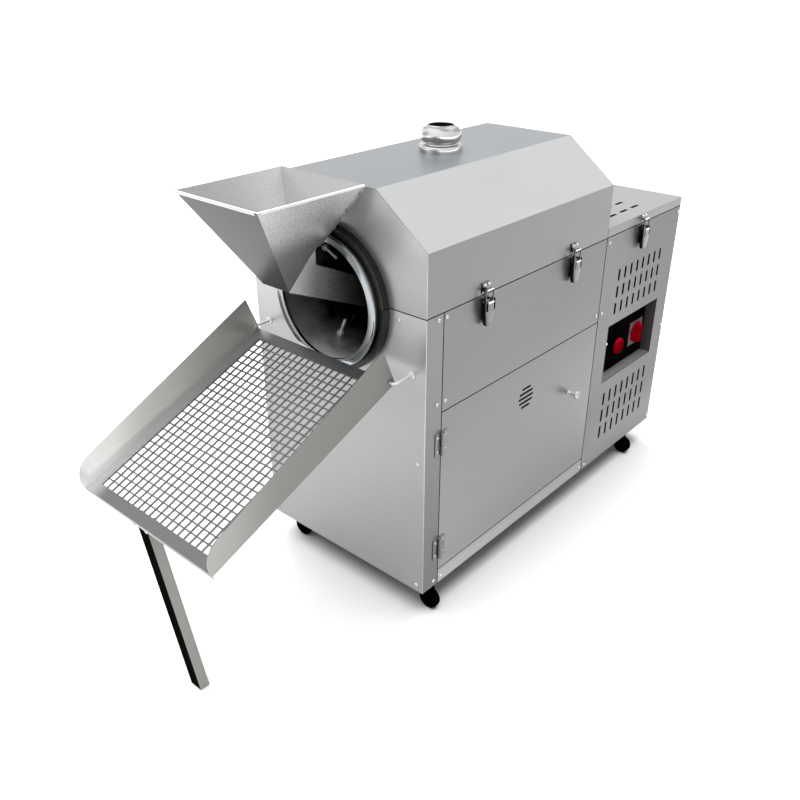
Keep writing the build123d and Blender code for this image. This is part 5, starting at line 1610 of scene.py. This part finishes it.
@dataclass
class TrayHooks:
    """Bent hooks with round seats that carry the tray on the front panel."""

    x: float = 213.5
    inside: float = 197.5
    y: float = -53.9
    z: float = 609.7
    radius: float = 3.0
    bend: float = 7.0
    tip: float = 9.0
    seat: Profile = ((9.0, 0.0), (9.0, 1.2), (7.4, 2.6), (4.6, 3.4), (4.2, 7.0), (3.0, 7.4))
    steps: int = 24

    def build(self) -> list[bpy.types.Object]:
        """Bends both hooks and turns their seats.

        Returns:
            The hooks.
        """
        piece = Piece()
        for side in (-1, 1):
            root = (side * self.x, 0.0, self.z)
            corner = (side * self.x, self.y, self.z)
            inside = (side * self.inside, self.y, self.z)
            tip = (side * self.inside, self.y, self.z + self.tip)
            piece.bent((root, corner, inside, tip), self.radius, self.bend)
            piece.turned(self.seat, root, Axis.FRONT, self.steps)
        return [piece.finish("tray_hook_pair", "cabinet", FINISHES.hook, "bright_steel", ["tray_hooks"])]


@dataclass
class JointShadeStrips:
    """Black strips along the joints between the panels, the door and the lids: painted shade of the gaps."""

    width: float = 2.0
    proud: float = 0.3
    clear: float = 0.02
    below_lid: float = 0.5
    corner: float = 52.5
    bulkhead: float = 684.8
    door_top: float = 517.5
    sill: float = 109.5
    collar: float = 157.0

    def build(self) -> list[bpy.types.Object]:
        """Lays a black strip along every joint.

        Returns:
            The strips.
        """
        piece = Piece()
        face = (CABINET.half + self.clear, CABINET.half + self.proud)
        low, high = -self.width / 2, self.width / 2
        top = CABINET.split - self.below_lid
        piece.slab(face, (0.0, CABINET.length), (top + low, top + high))
        for side in (-1, 1):
            ends = sorted((side * self.collar, side * CABINET.half))
            piece.slab((ends[0], ends[1]), (-self.proud, -self.clear), (top + low, top + high))
        upright = (CABINET.bottom, top + low)
        for y in (self.corner, self.bulkhead):
            piece.slab(face, (y + low, y + high), upright)
        for z in (self.door_top, self.sill):
            piece.slab(face, (self.corner + high, self.bulkhead + low), (z + low, z + high))
        return [piece.finish("joint_shade_strips", "cabinet", FINISHES.screen, "dark_steel")]


@dataclass
class SlotShadeSheets:
    """Black sheets behind the air slots, painted shade of the dark inside."""

    side: Pair = (246.8, 248.0)
    along: Pair = (755.0, 1015.0)
    upper: Pair = (500.0, 650.0)
    lower: Pair = (124.0, 293.0)
    rear: Pair = (1081.8, 1083.0)
    rear_half: float = 150.0
    cover: Pair = (757.8, 759.0)
    cover_x: Pair = (140.0, 215.0)
    cover_y: Pair = (712.0, 935.0)
    door: Pair = (246.8, 248.0)
    door_y: Pair = (330.0, 412.0)
    door_z: Pair = (386.0, 468.0)
    rounding: float = 0.4

    def build(self) -> list[bpy.types.Object]:
        """Hangs the black sheets on the cabinet, the cover and the door.

        Returns:
            The black sheets.
        """
        fixed = Piece()
        for span in (self.upper, self.lower):
            fixed.slab(self.side, self.along, span, self.rounding)
        fixed.slab((-self.rear_half, self.rear_half), self.rear, self.upper, self.rounding)
        cover = Piece()
        cover.slab(self.cover_x, self.cover_y, self.cover, self.rounding)
        cover.slab((-self.cover_x[1], -self.cover_x[0]), self.cover_y, self.cover, self.rounding)
        door = Piece()
        door.slab(self.door, self.door_y, self.door_z, self.rounding)
        return [fixed.finish("slot_shade_sheets", "cabinet", FINISHES.screen, "dark_steel"),
                cover.finish("cover_slot_shade_sheets", "control_cover", FINISHES.screen, "dark_steel"),
                door.finish("door_slot_shade_sheet", "side_door", FINISHES.screen, "dark_steel")]


@dataclass
class Folds:
    """Rounded sheet edges along the folds, in brighter steel that paints a highlight line."""

    radius: float = 1.2
    inset: float = 0.8
    shoulder_inset: float = 0.48
    roof_inset: float = 0.4
    ends: Pair = (1.0, 2.0)
    flats: int = 12
    tray_half: float = 200.0
    edges: dict[str, list[tuple[Point, Point]]] = field(default_factory=dict)

    def __post_init__(self) -> None:
        """Lists the folds of the cabinet, the hood and the tray."""
        half = CABINET.half - self.inset
        y = self.inset
        shoulder = CABINET.shoulder - self.shoulder_inset
        roof = CABINET.roof - self.inset
        roof_half = CABINET.roof_half - self.roof_inset
        above, below = self.ends
        cabinet, hood = [], []
        for side in (-1, 1):
            x = side * half
            cabinet.append(((x, y, CABINET.bottom + above), (x, y, CABINET.split - below)))
            hood.append(((x, y, CABINET.split + above), (x, y, shoulder)))
            hood.append(((x, y, shoulder), (side * roof_half, y, roof)))
        level = Sieve()
        front = [level.place() @ Vector((side * self.tray_half, self.inset - level.length, -self.inset))
                 for side in (-1, 1)]
        self.edges = {"cabinet": cabinet, "hood": hood, "tray": [(front[0], front[1])]}

    def build(self) -> list[bpy.types.Object]:
        """Lays a slim rounded edge along each fold.

        Returns:
            The edges of the cabinet, the hood and the tray.
        """
        made = []
        for body, edges in self.edges.items():
            piece = Piece()
            for start, end in edges:
                piece.bar(start, end, self.radius, self.flats)
            slot = "tray_steel" if body == "tray" else "panel_steel"
            made.append(piece.finish(f"{body}_folds", body, FINISHES.edge, slot, smooth=60.0))
        return made


@dataclass
class Dressing:
    """Finishes of the solids that stay in sight."""

    nodes: dict[str, Finish] = field(default_factory=lambda: {
        "base_frame": FINISHES.side, "front_panel": FINISHES.front, "left_panel": FINISHES.side,
        "rear_panel": FINISHES.plain, "upper_side_panel": FINISHES.side,
        "control_side_panel": FINISHES.control, "bulkhead": FINISHES.inner,
        "furnace_floor": FINISHES.inner, "burner": FINISHES.iron,
        "lower_collar": FINISHES.dark, "control_plate": FINISHES.plate, "control_fittings": FINISHES.pale,
        "latch_bases": FINISHES.chrome, "fixed_hinges": FINISHES.hinge, "rear_bearing": FINISHES.iron,
        "roller_brackets": FINISHES.inner, "gearmotor": FINISHES.motor, "drive_chain": FINISHES.machine,
        "cable_gland": FINISHES.gland, "tray_hooks": FINISHES.bright, "panel_screws": FINISHES.bright,
        "drum_shell": FINISHES.drum, "drum_rim": FINISHES.rim, "drum_vanes": FINISHES.vane,
        "drum_studs": FINISHES.stud, "drum_shaft": FINISHES.machine, "drum_sprocket": FINISHES.machine,
        "motor_sprocket": FINISHES.machine, "left_roller": FINISHES.machine, "right_roller": FINISHES.machine,
        "hood_shell": FINISHES.hood, "chimney": FINISHES.flue_pipe, "upper_collar": FINISHES.collar,
        "hood_hinges": FINISHES.hinge, "hood_keepers": FINISHES.chrome, "control_cover": FINISHES.cover,
        "side_door": FINISHES.side, "door_hinges": FINISHES.hinge, "door_knob": FINISHES.knob,
        "hopper": FINISHES.hopper, "feed_chute": FINISHES.chute, "tray_pan": FINISHES.tray,
        "sieve_mesh": FINISHES.sieve, "leg": FINISHES.leg, "stop_button": FINISHES.red,
        "rotary_switch": FINISHES.red})
    endings: dict[str, Finish] = field(default_factory=lambda: {
        "_lever": FINISHES.chrome, "_bail": FINISHES.chrome, "_fork": FINISHES.castor,
        "_wheel": FINISHES.rubber})

    def finish_of(self, name: str) -> Finish:
        """The finish of a solid, by its name or by how its name ends.

        Args:
            name: the solid's name.

        Returns:
            Its finish.
        """
        if name in self.nodes:
            return self.nodes[name]
        return next(finish for ending, finish in self.endings.items() if name.endswith(ending))

    def build(self) -> list[bpy.types.Object]:
        """Gives every solid its finish.

        Returns:
            The solids.
        """
        for name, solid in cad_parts.items():
            solid.data.materials.clear()
            solid.data.materials.append(self.finish_of(name).material())
        return list(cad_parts.values())


@dataclass
class Studio:
    """Pale floor, white surroundings, one soft lamp and the camera."""

    eye: Point = (1.1857, -1.4223, 1.354)
    forward: Point = (-0.5832, 0.6615, -0.4715)
    lens: float = 37.89
    sensor: float = 36.0
    ambient: float = 0.6
    lamp_way: Point = (-0.18, -0.04, 1.0)
    lamp_strength: float = 10.0
    lamp_spread: float = 76.0
    lamp_height: float = 3.0
    floor_half: float = 30.0
    floor_tone: float = 0.5
    floor_roughness: float = 0.9

    def floor(self) -> bpy.types.Object:
        """Wide pale floor that keeps the shadow.

        Returns:
            The floor.
        """
        work = bmesh.new()
        bmesh.ops.create_grid(work, x_segments=4, y_segments=4, size=self.floor_half)
        mesh = bpy.data.meshes.new("studio_floor")
        work.to_mesh(mesh)
        work.free()
        ground = bpy.data.objects.new("studio_floor", mesh)
        bpy.context.scene.collection.objects.link(ground)
        material = bpy.data.materials.new("floor_white")
        material.use_nodes = True
        shader = material.node_tree.nodes["Principled BSDF"]
        shader.inputs["Base Color"].default_value = (*grey(self.floor_tone), 1.0)
        shader.inputs["Roughness"].default_value = self.floor_roughness
        shader.inputs["Specular IOR Level"].default_value = 0.0
        mesh.materials.append(material)
        return ground

    def surroundings(self) -> None:
        """White for the eye, reflections and glass; a softer level for the light itself."""
        world = bpy.data.worlds.new("studio")
        world.use_nodes = True
        bpy.context.scene.world = world
        wiring = Wiring(world.node_tree)
        world.node_tree.nodes.clear()
        path = wiring.node("ShaderNodeLightPath").outputs
        seen = wiring.math("MAXIMUM", wiring.math("MAXIMUM", path["Is Camera Ray"], path["Is Glossy Ray"]),
                           path["Is Transmission Ray"])
        soft = wiring.node("ShaderNodeBackground", Color=(1.0, 1.0, 1.0, 1.0), Strength=self.ambient)
        white = wiring.node("ShaderNodeBackground", Color=(1.0, 1.0, 1.0, 1.0), Strength=1.0)
        mixed = wiring.node("ShaderNodeMixShader")
        wiring.feed(mixed, 0, seen)
        wiring.feed(mixed, 1, soft.outputs[0])
        wiring.feed(mixed, 2, white.outputs[0])
        wiring.node("ShaderNodeOutputWorld", Surface=mixed.outputs[0])

    def light(self) -> None:
        """Hangs the soft lamp, which shows in no reflection on the sheets."""
        lamp = bpy.data.lights.new("key", "SUN")
        lamp.energy = self.lamp_strength
        lamp.angle = math.radians(self.lamp_spread)
        hung = bpy.data.objects.new("key", lamp)
        hung.visible_glossy = False
        way = Vector(self.lamp_way)
        hung.location = way * self.lamp_height
        hung.rotation_euler = way.to_track_quat("Z", "Y").to_euler()
        bpy.context.scene.collection.objects.link(hung)

    def camera(self) -> None:
        """Stands the camera where the photograph was taken from."""
        data = bpy.data.cameras.new("camera")
        data.lens = self.lens
        data.sensor_width = self.sensor
        eye = bpy.data.objects.new("camera", data)
        eye.location = self.eye
        eye.rotation_euler = Vector(self.forward).to_track_quat("-Z", "Y").to_euler()
        bpy.context.scene.collection.objects.link(eye)
        bpy.context.scene.camera = eye

    def build(self) -> list[bpy.types.Object]:
        """Sets up the studio.

        Returns:
            The floor.
        """
        bpy.context.scene.view_settings.view_transform = "Standard"
        ground = self.floor()
        self.surroundings()
        self.light()
        self.camera()
        return [ground]


def main() -> None:
    """Builds and dresses the roaster, then lights it."""
    logging.basicConfig(level=logging.INFO, format="%(name)s: %(message)s")
    latches = [Latch("front", 184.0, "hood"), Latch("middle", 524.0, "hood"),
               Latch("rear", 862.0, "control_cover", 18.0)]
    assemblies = [Studio(), Dressing(), Sieve(), Hopper(), Chimney(), DrumMouth(), *latches, Fasteners(),
                  DoorKnob(), Controls(), Castors(), TrayHooks(), JointShadeStrips(), SlotShadeSheets(), Folds()]
    for assembly in assemblies:
        for piece in assembly.build():
            log.info("%s: %s, %d faces", type(assembly).__name__, piece.name, len(piece.data.polygons))


if __name__ == "__main__":
    main()
